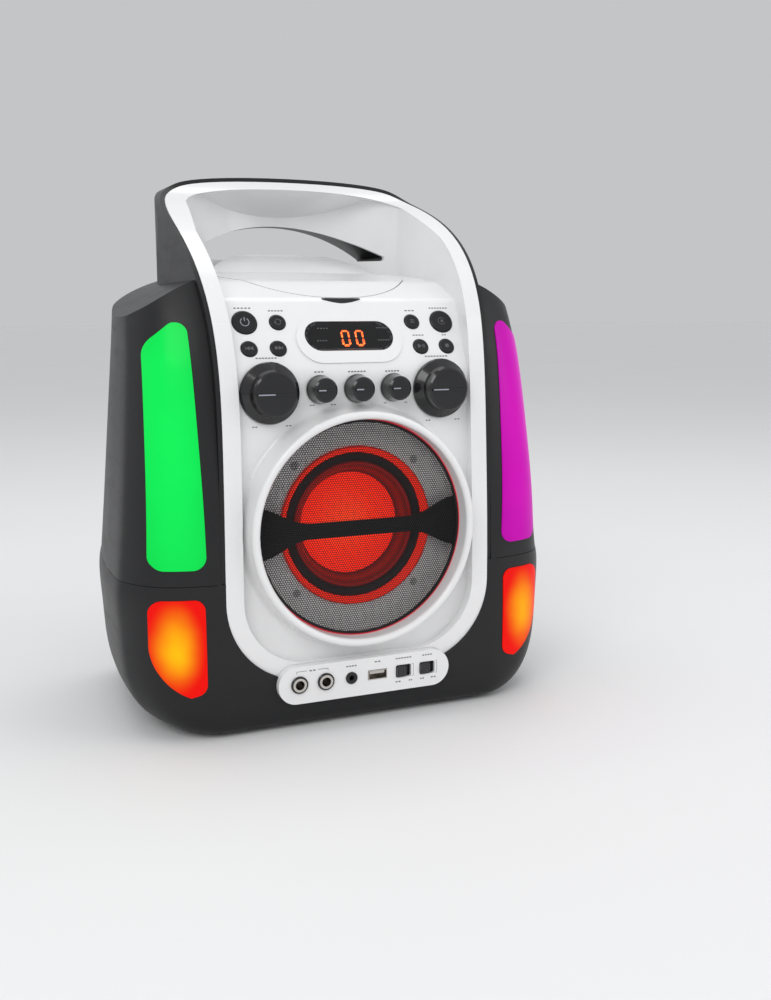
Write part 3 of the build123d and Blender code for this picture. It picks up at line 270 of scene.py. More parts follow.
def lamp_glow():
    """Light behind a diffuser, as a mask that is 1 at the lamp and 0 at the rim.

    With across and up the distances from the middle over the half width and the half height, it ramps down
    while across^2 + up^2 + half a cloudy noise goes from the heart's level to the rim's."""
    heart, rim, cloudiness = 0.15, 1.6, 0.5
    group, start, end = shared_group(
        "lamp_glow", {"Middle X": 0.0, "Half Width": 0.02, "Middle Z": 0.2, "Half Height": 0.08}, ["Mask"])
    split = node(group, "ShaderNodeSeparateXYZ", [("Vector", start["Vector"])])

    def square_of_share(value, middle, half):
        share = maths(group, "DIVIDE", maths(group, "SUBTRACT", value, middle), half)
        return maths(group, "MULTIPLY", share, share)

    across = square_of_share(split.outputs["X"], start["Middle X"], start["Half Width"])
    up = square_of_share(split.outputs["Z"], start["Middle Z"], start["Half Height"])
    cloud = noise(group, start["Vector"], 38.0)
    away = maths(group, "MULTIPLY_ADD", cloud, cloudiness, maths(group, "ADD", across, up))
    group.links.new(ramped(group, away, heart, rim, 1.0, 0.0), end["Mask"])
    return group


GRAIN = moulded_grain()
MARKS = handling_marks()
GLOW = lamp_glow()


def group_node(tree, group, where, **settings):
    """A shared group fed with the coordinates and its settings, whose names have _ for a blank."""
    links = [("Vector", where), *((key.replace("_", " "), value) for key, value in settings.items())]
    return node(tree, "ShaderNodeGroup", links, node_tree=group).outputs


# ------------------------------------------------------------------ finishes
def start_finish(name, colour, roughness, metallic=0.0, coat=0.0, coat_roughness=0.1, specular=0.5):
    """A material, its tree, its shader with plain values and the object's coordinates."""
    finish = bpy.data.materials.new(name)
    finish.use_nodes = True
    tree = finish.node_tree
    shader = tree.nodes["Principled BSDF"]
    shader.inputs["Base Color"].default_value = (*colour, 1.0)
    shader.inputs["Roughness"].default_value = roughness
    shader.inputs["Metallic"].default_value = metallic
    shader.inputs["Coat Weight"].default_value = coat
    shader.inputs["Coat Roughness"].default_value = coat_roughness
    shader.inputs["Specular IOR Level"].default_value = specular
    where = tree.nodes.new("ShaderNodeTexCoord").outputs["Object"]
    return finish, tree, shader, where


def moulded(name, colour, roughness, cells=900.0, mix=0.5, depth=0.15, bump_mm=0.02, spread=0.24, smear=0.25,
            coat=0.0, coat_roughness=0.1, tint=None, specular=0.5):
    """Moulded plastic or rubber: grain as bump, colour a little mottled, rougher by spread where smeared."""
    finish, tree, shader, where = start_finish(name, colour, roughness, coat=coat,
                                               coat_roughness=coat_roughness, specular=specular)
    grain = group_node(tree, GRAIN, where, Cells=cells, Mix=mix)
    marks = group_node(tree, MARKS, where, Amount=smear)
    bumped(tree, shader, grain["Height"], depth, bump_mm)
    darker, lighter, lift = 0.9, 1.06, 0.004
    dark = [c * darker for c in colour]
    light = tint or [min(1.0, c * lighter + lift) for c in colour]
    tree.links.new(blended(tree, grain["Mottle"], dark, light), shader.inputs["Base Color"])
    rough = maths(tree, "MULTIPLY_ADD", marks["Mask"], spread, roughness, clamp=True)
    tree.links.new(rough, shader.inputs["Roughness"])
    return finish


def turned_metal(name, colour, roughness):
    """Metal with fine drawn lines: noise stretched along z moves roughness and colour."""
    spread, darker, lighter = 0.15, 0.8, 1.1
    finish, tree, shader, where = start_finish(name, colour, roughness, metallic=1.0)
    lines = noise(tree, stretched(tree, where, (400.0, 400.0, 20.0)), 3.0, 5.0)
    rough = maths(tree, "MULTIPLY_ADD", lines, spread, roughness, clamp=True)
    tree.links.new(rough, shader.inputs["Roughness"])
    dark = [c * darker for c in colour]
    light = [min(1, c * lighter) for c in colour]
    tree.links.new(blended(tree, lines, dark, light), shader.inputs["Base Color"])
    return finish


def lit_lens(name, rim, heart, middle_x, half_width, middle_z, half_height, steep):
    """Frosted lens with a lamp behind it: the glow mask to the power steep goes from rim to heart colour."""
    black, unlit = (0.0, 0.0, 0.0), 0.07
    finish, tree, shader, where = start_finish(name, rim, 0.3, coat=0.03, coat_roughness=0.08, specular=0.08)
    glow = group_node(tree, GLOW, where, Middle_X=middle_x, Half_Width=half_width, Middle_Z=middle_z,
                      Half_Height=half_height)
    shade = blended(tree, maths(tree, "POWER", glow["Mask"], steep), rim, heart)
    tree.links.new(shade, shader.inputs["Emission Color"])
    tree.links.new(blended(tree, 1 - unlit, shade, black), shader.inputs["Base Color"])
    shader.inputs["Emission Strength"].default_value = 1.0
    bumped(tree, shader, group_node(tree, GRAIN, where, Cells=420.0, Mix=0.3)["Height"], 0.08, 0.02)
    return finish


def ringed(name, stops, strength, roughness=0.6):
    """A red glow set by distance from the speaker's axis: lamp light on the LED ring, painted light on the
    cone; stops are (radius in mm, colour).
    """
    finish, tree, shader, where = start_finish(name, (0.012, 0.008, 0.008), roughness, specular=0.15)
    flat = node(tree, "ShaderNodeMapping", [("Vector", where), ("Location", (0.0, 0.0, -SPEAKER_Z * MM)),
                                            ("Scale", (1.0, 0.0, 1.0))])
    away = node(tree, "ShaderNodeVectorMath", [(0, flat.outputs[0])], operation="LENGTH")
    share = maths(tree, "DIVIDE", away.outputs["Value"], OPENING_R * MM)
    glow = node(tree, "ShaderNodeValToRGB", [(0, share)])
    ramp = glow.color_ramp
    while len(ramp.elements) < len(stops):
        ramp.elements.new(0.5)
    for element, (radius, colour) in zip(ramp.elements, stops):
        element.position = radius / OPENING_R
        element.color = (*colour, 1.0)
    bumped(tree, shader, noise(tree, where, 700.0, 3.0), 0.3, 0.05)
    tree.links.new(glow.outputs[0], shader.inputs["Emission Color"])
    shader.inputs["Emission Strength"].default_value = strength
    return finish


def smoked_window():
    """Smoked clear plastic: dark transmission, with faint smears in its gloss."""
    finish, tree, shader, where = start_finish("smoked_window", (0.1, 0.1, 0.11), 0.06)
    shader.inputs["Transmission Weight"].default_value = 1.0
    shader.inputs["IOR"].default_value = 1.45
    marks = group_node(tree, MARKS, where, Amount=0.2)
    tree.links.new(maths(tree, "MULTIPLY_ADD", marks["Mask"], 0.1, 0.03), shader.inputs["Roughness"])
    return finish


def clouded_glow(name, colour, dim, bright, cloud_scale, strength):
    """A glow that wanders between a dim and a bright colour along a piece."""
    finish, tree, shader, where = start_finish(name, colour, 0.4)
    shade = blended(tree, noise(tree, where, cloud_scale), dim, bright)
    tree.links.new(shade, shader.inputs["Emission Color"])
    shader.inputs["Emission Strength"].default_value = strength
    return finish


def jack_nut():
    """Nickel sleeve in a black outer ring, for two sockets on one line.

    r = sqrt((|x - middle| - half pitch)^2 + (z - JACK_Z)^2); metal where r is less than the sleeve's."""
    edge = 0.15
    finish, tree, shader, where = start_finish("jack_nut", (0.62, 0.59, 0.55), 0.2)
    split = node(tree, "ShaderNodeSeparateXYZ", [("Vector", where)]).outputs
    away = maths(tree, "ABSOLUTE", maths(tree, "SUBTRACT", split["X"], MIC_MIDDLE_X * MM))
    across = maths(tree, "SUBTRACT", away, MIC_HALF_PITCH * MM)
    up = maths(tree, "SUBTRACT", split["Z"], JACK_Z * MM)
    flat = node(tree, "ShaderNodeCombineXYZ", [("X", across), ("Y", up)])
    reach = node(tree, "ShaderNodeVectorMath", [(0, flat.outputs[0])], operation="LENGTH").outputs["Value"]
    metal = ramped(tree, reach, MIC_SLEEVE_R * MM, (MIC_SLEEVE_R + edge) * MM, 1.0, 0.0)
    bright = blended(tree, noise(tree, where, 900.0, 3.0), (0.5, 0.47, 0.44), (0.68, 0.65, 0.61))
    tree.links.new(metal, shader.inputs["Metallic"])
    tree.links.new(blended(tree, metal, (0.012, 0.012, 0.013), bright), shader.inputs["Base Color"])
    return finish


white_gloss = moulded("white_gloss", (0.80, 0.80, 0.80), 0.26, cells=260.0, mix=0.9, depth=0.04, spread=0.12,
                      smear=0.12, coat=0.3, coat_roughness=0.06)
body_black = moulded("body_black", (0.009, 0.009, 0.010), 0.42, cells=1150.0, mix=0.35, depth=0.6,
                     bump_mm=0.08, spread=0.16, smear=0.35, tint=(0.014, 0.014, 0.015), specular=0.3)
soft_black = moulded("soft_black", (0.014, 0.014, 0.015), 0.4, cells=1500.0, mix=0.6, depth=0.3, bump_mm=0.03,
                     specular=0.35)
bar_black = moulded("bar_black", (0.006, 0.006, 0.006), 0.5, cells=1500.0, mix=0.6, depth=0.3, bump_mm=0.03,
                    specular=0.2)
knob_black = moulded("knob_black", (0.007, 0.007, 0.008), 0.16, cells=600.0, mix=0.8, depth=0.05, coat=0.35,
                     coat_roughness=0.08, smear=0.4, specular=0.4)
button_black = moulded("button_black", (0.010, 0.010, 0.011), 0.34, cells=1500.0, depth=0.25, smear=0.4,
                       specular=0.3)
lever_black = moulded("lever_black", (0.022, 0.022, 0.026), 0.22, depth=0.1, coat=0.5)
mesh_black = moulded("mesh_black", (0.008, 0.008, 0.009), 0.42, cells=2000.0, mix=0.8, depth=0.1, smear=0.1,
                     specular=0.25)
module_black = moulded("module_black", (0.006, 0.005, 0.005), 0.5, cells=1500.0, depth=0.05)
gap_black = moulded("gap_black", (0.003, 0.003, 0.003), 0.7, depth=0.1, specular=0.1)
rubber = moulded("rubber", (0.016, 0.016, 0.016), 0.75, cells=1000.0, mix=0.4, depth=0.4, bump_mm=0.05,
                 specular=0.3)
steel = turned_metal("steel", (0.56, 0.56, 0.58), 0.28)
nickel = turned_metal("nickel", (0.62, 0.59, 0.55), 0.18)
# painted reflection: the screws get a pale plain finish in place of plated metal, standing for the white
# baffle they reflect
zinc_painted_reflection = moulded("zinc_painted_reflection", (0.42, 0.42, 0.43), 0.4, mix=0.8, specular=0.4)
black_steel = moulded("black_steel", (0.016, 0.016, 0.016), 0.42, mix=0.9)
ferrite = moulded("ferrite", (0.07, 0.07, 0.075), 0.7, cells=500.0, depth=0.5, bump_mm=0.08)
board_green = moulded("board_green", (0.02, 0.14, 0.05), 0.4, cells=300.0, mix=0.7, depth=0.2, coat=0.2)
varnish = moulded("varnish", (0.12, 0.11, 0.1), 0.45, cells=500.0, depth=0.3)
nylon = moulded("nylon", (0.74, 0.73, 0.66), 0.42, cells=800.0)
print_grey = moulded("print_grey", (0.13, 0.13, 0.14), 0.55, cells=1500.0, depth=0.05)
print_light = moulded("print_light", (0.30, 0.31, 0.36), 0.5, cells=1500.0, depth=0.05)
print_faint = moulded("print_faint", (0.085, 0.085, 0.095), 0.5, cells=1500.0, depth=0.05)

SIDE_LAMP = (0.026, 0.2, 0.125)        # half width, middle height and half height of the glow, in metres
CORNER_LAMP = (0.017, 0.066, 0.03)
green_lens = lit_lens("green_lens", (0.0, 0.56, 0.06), (0.004, 0.86, 0.1), -0.127, *SIDE_LAMP, 1.0)
magenta_lens = lit_lens("magenta_lens", (0.36, 0.0, 0.3), (0.62, 0.001, 0.46), 0.127, *SIDE_LAMP, 1.0)
amber_left = lit_lens("amber_left", (0.83, 0.004, 0.001), (1.0, 0.5, 0.002), -0.129, *CORNER_LAMP, 2.6)
amber_right = lit_lens("amber_right", (0.83, 0.004, 0.001), (1.0, 0.47, 0.002), 0.129, *CORNER_LAMP, 2.6)

# painted light and shade: the cone and dust cap glow as if lit red by the speaker's lamps, in lit and dark
# bands to the rim
cone_painted_light = ringed("cone_painted_light", [
    (0.0, (1.0, 0.055, 0.008)), (20.0, (0.95, 0.026, 0.004)), (35.5, (0.86, 0.014, 0.002)),
    (36.0, (0.05, 0.0, 0.0)), (39.0, (0.24, 0.004, 0.001)), (41.0, (0.10, 0.001, 0.0)),
    (42.8, (0.22, 0.003, 0.001)), (44.2, (0.03, 0.0, 0.0))], 1.3)
ring_lit = ringed("ring_lit", [
    (50.0, (0.7, 0.010, 0.003)), (50.6, (1.0, 0.022, 0.005)),
    (54.2, (1.0, 0.022, 0.005)), (54.8, (0.4, 0.006, 0.002))], 0.85, roughness=0.35)
# painted light: red light from the speaker's lamps falling on the opening's inner wall, drawn as a glow
gap_painted_light = clouded_glow("painted_gap_light", (0.05, 0.005, 0.005), (0.22, 0.003, 0.012), (0.62, 0.012, 0.03),
                         26.0, 1.0)
digit_red = clouded_glow("lit_digit", (0.3, 0.02, 0.01), (1.0, 0.06, 0.01), (1.0, 0.2, 0.03), 500.0, 13.0)
window_smoke = smoked_window()
mic_metal = jack_nut()

NODE_FINISH = {
    "front_fascia": white_gloss, "disc_lid": white_gloss, "jack_panel": white_gloss,
    "back_housing": body_black, "base_housing": body_black, "left_side_cover": body_black,
    "right_side_cover": body_black, "left_light_lens": green_lens, "right_light_lens": magenta_lens,
    "left_corner_lens": amber_left, "right_corner_lens": amber_right, "lid_hinge_pins": steel,
    "disc_well": soft_black, "mechanism_chassis": soft_black, "rubber_isolators": rubber,
    "spindle_motor": steel, "disc_spindle": soft_black, "guide_rods": steel,
    "pickup_sled": soft_black, "pickup_lens": nickel, "sled_gear": nylon, "speaker_grille": mesh_black,
    "grille_bar": bar_black, "woofer_light_ring": ring_lit, "woofer_basket": black_steel,
    "woofer_magnet": ferrite, "woofer_surround": rubber, "woofer_cone": cone_painted_light, "dust_cap": cone_painted_light,
    "woofer_screws": zinc_painted_reflection, "display_window": window_smoke, "display_module": module_black,
    "control_boards": board_green, "potentiometers": steel, "mic_jacks": mic_metal, "aux_jack": soft_black,
    "usb_socket": nickel, "slide_switches": soft_black, "function_switch_lever": lever_black,
    "light_switch_lever": lever_black, "mic_volume_knob": knob_black, "main_volume_knob": knob_black,
    "echo_knob": knob_black, "treble_knob": knob_black, "balance_knob": knob_black, "main_board": board_green,
    "power_transformer": varnish, "mains_inlet": soft_black, "video_jacks": nickel, "rubber_feet": rubber,
    "housing_screws": black_steel, "light_boards": board_green,
}
for name, piece in nodes.items():
    finish = NODE_FINISH.get(name, button_black)    # the nodes without a row are the eight buttons
    if not piece.data.materials:
        piece.data.materials.append(finish)
    for spot in piece.material_slots:
        spot.material = finish


# ------------------------------------------------------------------ perforated grille
def hexagon_sheet(reach, pitch, hole, front, back):
    """Sheet of hexagonal holes with ridged webs: corner k of cell c is c + r (cos(60k+30), sin(60k+30)).

    The outer corners, at r = pitch / sqrt(3), are shared by neighbours and lie on the front and back;
    the hole's corners, at r = hole / sqrt(3), lie midway between."""
    row_pitch = pitch * math.sqrt(3) / 2
    rows = int(reach / row_pitch) + 2
    j, i = np.meshgrid(np.arange(-rows, rows + 1), np.arange(-rows, rows + 1), indexing="ij")
    x, z = (i + 0.5 * (j % 2)) * pitch, j * row_pitch
    keep = np.hypot(x, z) < reach
    centres = np.stack([x[keep], z[keep]], -1)
    turn = np.radians(60 * np.arange(6) + 30)
    corner = np.stack([np.cos(turn), np.sin(turn)], -1)
    outer = (centres[:, None] + corner * pitch / math.sqrt(3)).reshape(-1, 2)
    inner = (centres[:, None] + corner * hole / math.sqrt(3)).reshape(-1, 2)
    corners, index = np.unique(np.round(outer, 3), axis=0, return_inverse=True)
    count = len(corners)

    def level(flat, y):
        return np.stack([flat[:, 0], np.full(len(flat), y), flat[:, 1] + SPEAKER_Z], -1)

    points = np.concatenate([level(corners, front), level(corners, back), level(inner, (front + back) / 2)])
    a = index.reshape(-1, 6)
    b = np.roll(a, -1, 1)
    d = np.arange(len(inner)).reshape(-1, 6) + 2 * count
    c = np.roll(d, -1, 1)
    face = np.stack([a, b, c, d], -1).reshape(-1, 4)
    rear = np.stack([d, c, b + count, a + count], -1).reshape(-1, 4)
    edges = np.stack([a, b], -1).reshape(-1, 2)
    _, first, times = np.unique(np.sort(edges, axis=1), axis=0, return_index=True, return_counts=True)
    lone = edges[first[times == 1]]
    skirt = np.stack([lone[:, 1], lone[:, 0], lone[:, 0] + count, lone[:, 1] + count], -1)
    return points, [*face, *rear, *skirt]


def hoop(profile, around=180):
    """A closed profile of (y, radius) carried round the speaker's axis."""
    profile = np.asarray(profile, float)
    t = np.linspace(0, 2 * math.pi, around, endpoint=False)[:, None]
    y, r = profile[None, :, 0], profile[None, :, 1]
    return torus_grid(np.stack([r * np.cos(t), y + 0 * t, r * np.sin(t) + SPEAKER_Z], -1)[::-1])


def grille_mesh():
    """The perforated sheet and its rolled edge, in place of the plain disc of the solid."""
    sheet = hexagon_sheet(reach=72.9, pitch=1.7, hole=1.22, front=9.3, back=9.7)
    edge = hoop([(9.2, 72.2), (9.2, 73.6), (9.5, 74.0), (12.85, 74.0), (12.85, 73.3), (10.0, 73.3),
                 (9.9, 72.2)])
    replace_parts(finish_piece("grille_mesh", *joined([sheet, edge]), mesh_black), "speaker_grille")


def grille_gap_painted_light():
    """A thin glowing band in the gap round the grille's edge: painted red light from inside the speaker on
    the opening's inner wall.
    """
    band = hoop([(9.9, 74.05), (9.6, 74.3), (9.6, 74.7), (9.9, 74.85), (12.0, 74.85), (12.0, 74.05)])
    finish_piece("grille_gap_painted_light", *band, gap_painted_light, smooth=True)


grille_mesh()
grille_gap_painted_light()


# ------------------------------------------------------------------ seam and painted shadow of the finger notch
def seam_path():
    """Outer edge of the upper housings at SEAM_Z, in order round the back, as (x, y) in millimetres.

    It takes the corners at that height of the faces whose normal has a cosine above facing to the direction
    from the machine's middle to the face."""
    facing, touching = 0.3, 2e-5
    found = []
    for name in ("left_side_cover", "back_housing", "right_side_cover"):
        mesh = nodes[name].data
        corners = np.empty(len(mesh.polygons) * 3, int)
        mesh.polygons.foreach_get("vertices", corners)
        spots = np.empty(len(mesh.vertices) * 3)
        mesh.vertices.foreach_get("co", spots)
        normals = np.empty(len(mesh.polygons) * 3)
        mesh.polygons.foreach_get("normal", normals)
        triangles = spots.reshape(-1, 3)[corners.reshape(-1, 3)]
        away = triangles.mean(1)[:, :2]
        outward = (away * normals.reshape(-1, 3)[:, :2]).sum(1) > facing * np.linalg.norm(away, axis=1)
        edge = triangles[outward].reshape(-1, 3)
        found.append(edge[np.abs(edge[:, 2] - SEAM_Z * MM) < touching])
    flat = np.unique(np.round(np.concatenate(found)[:, :2] / MM, 2), axis=0)
    flat = flat[np.argsort(np.arctan2(flat[:, 0], flat[:, 1]))]
    return flat + [0.0, BACK_SHIFT]


def seam_line(width=0.5, proud=0.04, deep=0.3):
    """Dark line of the joint: a flat ribbon along the seam's path, its normal square to the path."""
    flat = seam_path()
    along = np.gradient(flat, axis=0)
    out = np.stack([-along[:, 1], along[:, 0]], -1)
    out /= np.linalg.norm(out, axis=1, keepdims=True)
    half = width / 2
    section = np.array([[-deep, -half], [proud, -half], [proud, half], [-deep, half]])
    rings = np.empty((len(flat), 4, 3))
    rings[:, :, :2] = flat[:, None] + out[:, None] * section[None, :, :1]
    rings[:, :, 2] = SEAM_Z + section[None, :, 1]
    finish_piece("seam_line", *closed_grid(rings), gap_black)


def notch_painted_shadow(half=14.0, drop=3.4, rear=2.0, proud=0.05, deep=1.4, steps=41):
    """Painted shadow of the finger notch: a dark crescent under the lid's front edge, bent over the fold
    between deck and panel.

    Across x it reaches rear + x^2 / (2 LID_SEAT_R) up the deck, to the lid's gap, and down the panel by
    drop (1 - (x / half)^2) + proud."""
    x = np.linspace(-half, half, steps)
    deck = np.array([math.cos(DECK_SLOPE), math.sin(DECK_SLOPE)])
    out_deck = np.array([-math.sin(DECK_SLOPE), math.cos(DECK_SLOPE)])
    out_fold = (out_deck + PANEL_OUT[1:]) / np.linalg.norm(out_deck + PANEL_OUT[1:])
    up_deck = rear + x ** 2 / (2 * LID_SEAT_R)
    down_panel = drop * (1 - (x / half) ** 2) + proud
    path = [(FOLD + up_deck[:, None] * deck, out_deck), (FOLD + 0 * up_deck[:, None], out_fold),
            (FOLD - down_panel[:, None] * PANEL_UP[1:], PANEL_OUT[1:])]
    top = [spots + proud * out for spots, out in path]
    under = [spots - deep * out for spots, out in path][::-1]
    section = np.stack(top + under, 1)
    across = np.broadcast_to(x[:, None, None], section.shape[:2] + (1,))
    # painted shadow: a dark inlay where the notch under the lid's front edge lies in shade
    finish_piece("notch_painted_shadow", *closed_grid(np.concatenate([across, section], -1)), soft_black)


seam_line()
notch_painted_shadow()


# ------------------------------------------------------------------ prints on the panel
def panel_spot(x, z, lift=0.02):
    """Point and up direction on the control panel at height z.

    The panel is upright, then bends round an arc of BEND_R, then leans back."""
    run = BEND_R * math.tan(PANEL_LEAN / 2)
    low = PANEL_BEND_Z - run
    high = PANEL_BEND_Z + run * math.cos(PANEL_LEAN)
    if z <= low:
        y, lean = PANEL_Y, 0.0
    elif z < high:
        lean = math.asin((z - low) / BEND_R)
        y = PANEL_Y + BEND_R * (1 - math.cos(lean))
    else:
        lean = PANEL_LEAN
        y = PANEL_Y + (z - PANEL_BEND_Z) * math.tan(PANEL_LEAN)
    up = np.array([0.0, math.sin(lean), math.cos(lean)])
    out = np.array([0.0, -math.cos(lean), math.sin(lean)])
    return np.array([x, y, z]) + out * lift, up


PANEL_WORDS = {                # half height of the dashes: (x, z, width) of each row
    0.48: [(-61.5, 252.6, 15.0), (62.1, 251.9, 18.0), (-26.6, 243.1, 7.2), (0.6, 242.8, 13.5),
           (26.6, 242.6, 11.0)],
    0.448: [(-72.0, 285.1, 12.5), (72.0, 285.1, 15.0), (-49.2, 283.3, 11.0), (49.2, 283.3, 8.0),
            (51.9, 266.4, 9.0), (71.9, 266.4, 3.5)],
    0.384: [(-72.0, 208.2, 4.2), (-48.7, 208.2, 4.6), (53.4, 207.9, 4.2), (76.0, 207.9, 4.6),
            (-32.0, 221.1, 3.8), (-17.0, 221.1, 4.2), (-6.2, 220.8, 3.8), (9.7, 220.8, 4.2),
            (21.0, 221.0, 2.2), (36.4, 221.0, 2.2)],
}


def panel_prints(pitch=2.1):
    """Rows of dashes by the buttons and knobs, and at the ends of each knob's turn."""
    marks = []
    for half_tall, rows in PANEL_WORDS.items():
        for x, z, width in rows:
            marks += dashes(*panel_spot(x, z), width, pitch, half_tall)
    finish_piece("panel_prints", *joined(marks), print_grey)


JACK_WORDS = [(MIC_MIDDLE_X, 43.0, 5.2), (-11.0, 42.4, 8.2), (8.5, 43.2, 5.0), (SWITCHES_X[0], 43.4, 12.5),
              (SWITCHES_X[1], 43.4, 8.0), (24.0, 26.6, 4.6), (33.6, 26.6, 3.0), (42.6, 26.6, 3.6),
              (51.4, 26.6, 4.4)]


def jack_line(x0, z0, x1, z1, width=0.25):
    """A thin straight printed line from one point of the jack panel to another."""
    a, b = np.array([x0, JACK_PRINT_Y, z0]), np.array([x1, JACK_PRINT_Y, z1])
    length = np.linalg.norm(b - a)
    along = (b - a) / length
    up = np.cross([0.0, -1.0, 0.0], along)
    return print_pad((a + b) / 2, along, up, outline_rounded(length / 2, width / 2, 9.0, 16))


def socket_prints(pitch=1.9, half_tall=0.476):
    """Rows of dashes, a bracket over the two microphone sockets and a bracket by each switch."""
    lines = []
    for x, z, width in JACK_WORDS:
        lines += dashes(np.array([x, JACK_PRINT_Y, z]), UP, width, pitch, half_tall)
    bracket_z, bracket_width, tip_z = 43.2, 0.35, 41.6
    for side in (-1, 1):
        inner, outer = MIC_MIDDLE_X + side * 3.9, MIC_MIDDLE_X + side * 11.2
        lines += [jack_line(inner, bracket_z, outer, bracket_z, bracket_width),
                  jack_line(outer, tip_z, outer, bracket_z + 0.1, bracket_width)]
    for middle in SWITCHES_X:
        far, near = middle + 7.6, middle + 6.4
        low, high = JACK_Z - 4.4, JACK_Z + 4.4
        lines += [jack_line(far, low, far, high), jack_line(near, low, far, low),
                  jack_line(near, high, far, high)]
    finish_piece("socket_prints", *joined(lines), print_grey)


panel_prints()
socket_prints()


# ------------------------------------------------------------------ signs on the buttons
def triangle(size, point=1):
    """Three corners rounded by short edges, pointing right (1) or left (-1)."""
    corners = np.array([[-0.5, -0.52], [-0.4, -0.6], [0.48, -0.06], [0.48, 0.06], [-0.4, 0.6], [-0.5, 0.52]])
    return corners * size if point > 0 else corners[::-1] * size * [-1, 1]


def bar(half_wide, half_tall):
    """A rectangle with small rounded corners."""
    return outline_rounded(half_wide, half_tall, 7.0, 16)


BUTTON_SPOTS = {
    "power": (-72.0, HIGH_ROW), "repeat": (-49.2, HIGH_ROW), "previous": (-71.9, LOW_ROW),
    "next": (-51.9, LOW_ROW), "program": (49.2, HIGH_ROW), "source": (72.0, HIGH_ROW),
    "play": (51.9, LOW_ROW), "stop": (71.9, LOW_ROW),
}
ARROW_DOWN = triangle(1.3)[:, ::-1] * [1, -1]
STOP_BAR, PAUSE_BAR, LIST_BAR = bar(0.25, 1.25), bar(0.28, 1.3), bar(1.6, 0.22)
SIGN_ARCS = {                  # radius, width, start and end in degrees
    "power": [(2.9, 0.5, 125, 415)],
    "repeat": [(2.0, 0.4, 20, 170), (2.0, 0.4, 200, 350)],
    "source": [(2.6, 0.4, 30, 330)],
}
SIGN_PADS = {                  # x and up from the cap's middle, outline
    "power": [(0, 2.1, bar(0.26, 1.5))],
    "repeat": [(2.0, 0.6, ARROW_DOWN), (-2.0, -0.6, ARROW_DOWN)],
    "previous": [(-2.7, 0, STOP_BAR), (-1.1, 0, triangle(2.4, -1)), (1.4, 0, triangle(2.4, -1))],
    "next": [(-1.4, 0, triangle(2.4)), (1.1, 0, triangle(2.4)), (2.7, 0, STOP_BAR)],
    "play": [(-1.2, 0, triangle(2.6)), (1.2, 0, PAUSE_BAR), (2.3, 0, PAUSE_BAR)],
    "stop": [(0, 0, bar(1.35, 1.35))],
    "program": [(0, 1.1, LIST_BAR), (0, 0, LIST_BAR), (0, -1.1, LIST_BAR)],
    "source": [(0.6, 0, triangle(2.2))],
}


def button_sign(kind, x, up, cap_top=1.12):
    """The plain sign of each function, laid on its cap."""
    arcs = [arc_band(on_panel(x, up, cap_top), SIDE, PANEL_UP, *arc) for arc in SIGN_ARCS.get(kind, [])]
    pads = [print_pad(on_panel(x + dx, up + du, cap_top), SIDE, PANEL_UP, shape)
            for dx, du, shape in SIGN_PADS[kind]]
    shade = print_light if kind == "power" else print_faint
    finish_piece(f"{kind}_sign", *joined(arcs + pads), shade, body=f"{kind}_button_cap")


for kind, (x, up) in BUTTON_SPOTS.items():
    button_sign(kind, x, up)


# ------------------------------------------------------------------ pointer lines on the knobs, with a painted highlight along each rib
BIG_KNOB = (230.0, 16.0, 20.5 * 0.72)       # axis height, reach out of the panel, radius of the front
SMALL_KNOB = (231.6, 13.5, 9.7 * 0.84)
KNOBS = {"mic_volume": (-61.9, *BIG_KNOB), "main_volume": (61.9, *BIG_KNOB), "echo": (-26.7, *SMALL_KNOB),
         "treble": (0.0, *SMALL_KNOB), "balance": (26.7, *SMALL_KNOB)}


def knob_pointer_and_highlight(kind, x, z, height, radius, rib=0.92, inset=2.6, start_share=0.05, half_width=0.42):
    """A light line on a knob's rib, from near its middle to an inset from its left rim: pointer print and
    painted highlight.
    """
    far, near = radius - inset, start_share * radius
    middle = np.array([x - (far + near) / 2, PANEL_Y - height - rib, z])
    strip = outline_rounded((far - near) / 2, half_width, 8.0, 16)
    # painted highlight: the light line stands for the highlight the rib catches from the left, as well as for
    # a printed pointer
    finish_piece(f"{kind}_pointer_and_highlight", *print_pad(middle, SIDE, UP, strip), print_light, body=f"{kind}_knob_cap")


for kind, spot in KNOBS.items():
    knob_pointer_and_highlight(kind, *spot)


# ------------------------------------------------------------------ display
def segment(centre, along, up, length, width):
    """A six-cornered bar, pointed at both ends."""
    a, b = length / 2, width / 2
    shape = np.array([[-a, 0], [-a + b, -b], [a - b, -b], [a, 0], [a - b, b], [-a + b, b]])
    return print_pad(centre, along, up, shape, thick=0.12)


def zero(x, up, wide=4.9, tall=10.8, stroke=1.45, gap=0.5, out=-0.72):
    """The six outer bars of a seven-bar digit about the point (x, up) of the panel."""
    made = [segment(on_panel(x, up + end * tall / 2, out), SIDE, PANEL_UP, wide - gap, stroke)
            for end in (1, -1)]
    made += [segment(on_panel(x + side * wide / 2, up + end * tall / 4, out), PANEL_UP, -SIDE,
                     tall / 2 - gap, stroke) for side in (1, -1) for end in (1, -1)]
    return made


def display_digits(up=-1.2):
    """Two lit zeros behind the window."""
    finish_piece("display_digits", *joined(zero(-2.6, up) + zero(7.6, up)), digit_red)


def display_tags(window_front=0.92):
    """Faint rows of dashes on the window beside the digits, given as x, up and width."""
    tags = []
    for x, up, width in ((-18.5, 5.8, 8.5), (-20.5, -3.4, 8.0), (25.0, 6.0, 9.0), (24.5, -3.4, 9.0)):
        spot = on_panel(x, up, window_front)
        tags += dashes(spot, PANEL_UP, width, pitch=1.8, half_tall=0.45, half_long=0.55)
    finish_piece("display_tags", *joined(tags), print_faint)


display_digits()
display_tags()


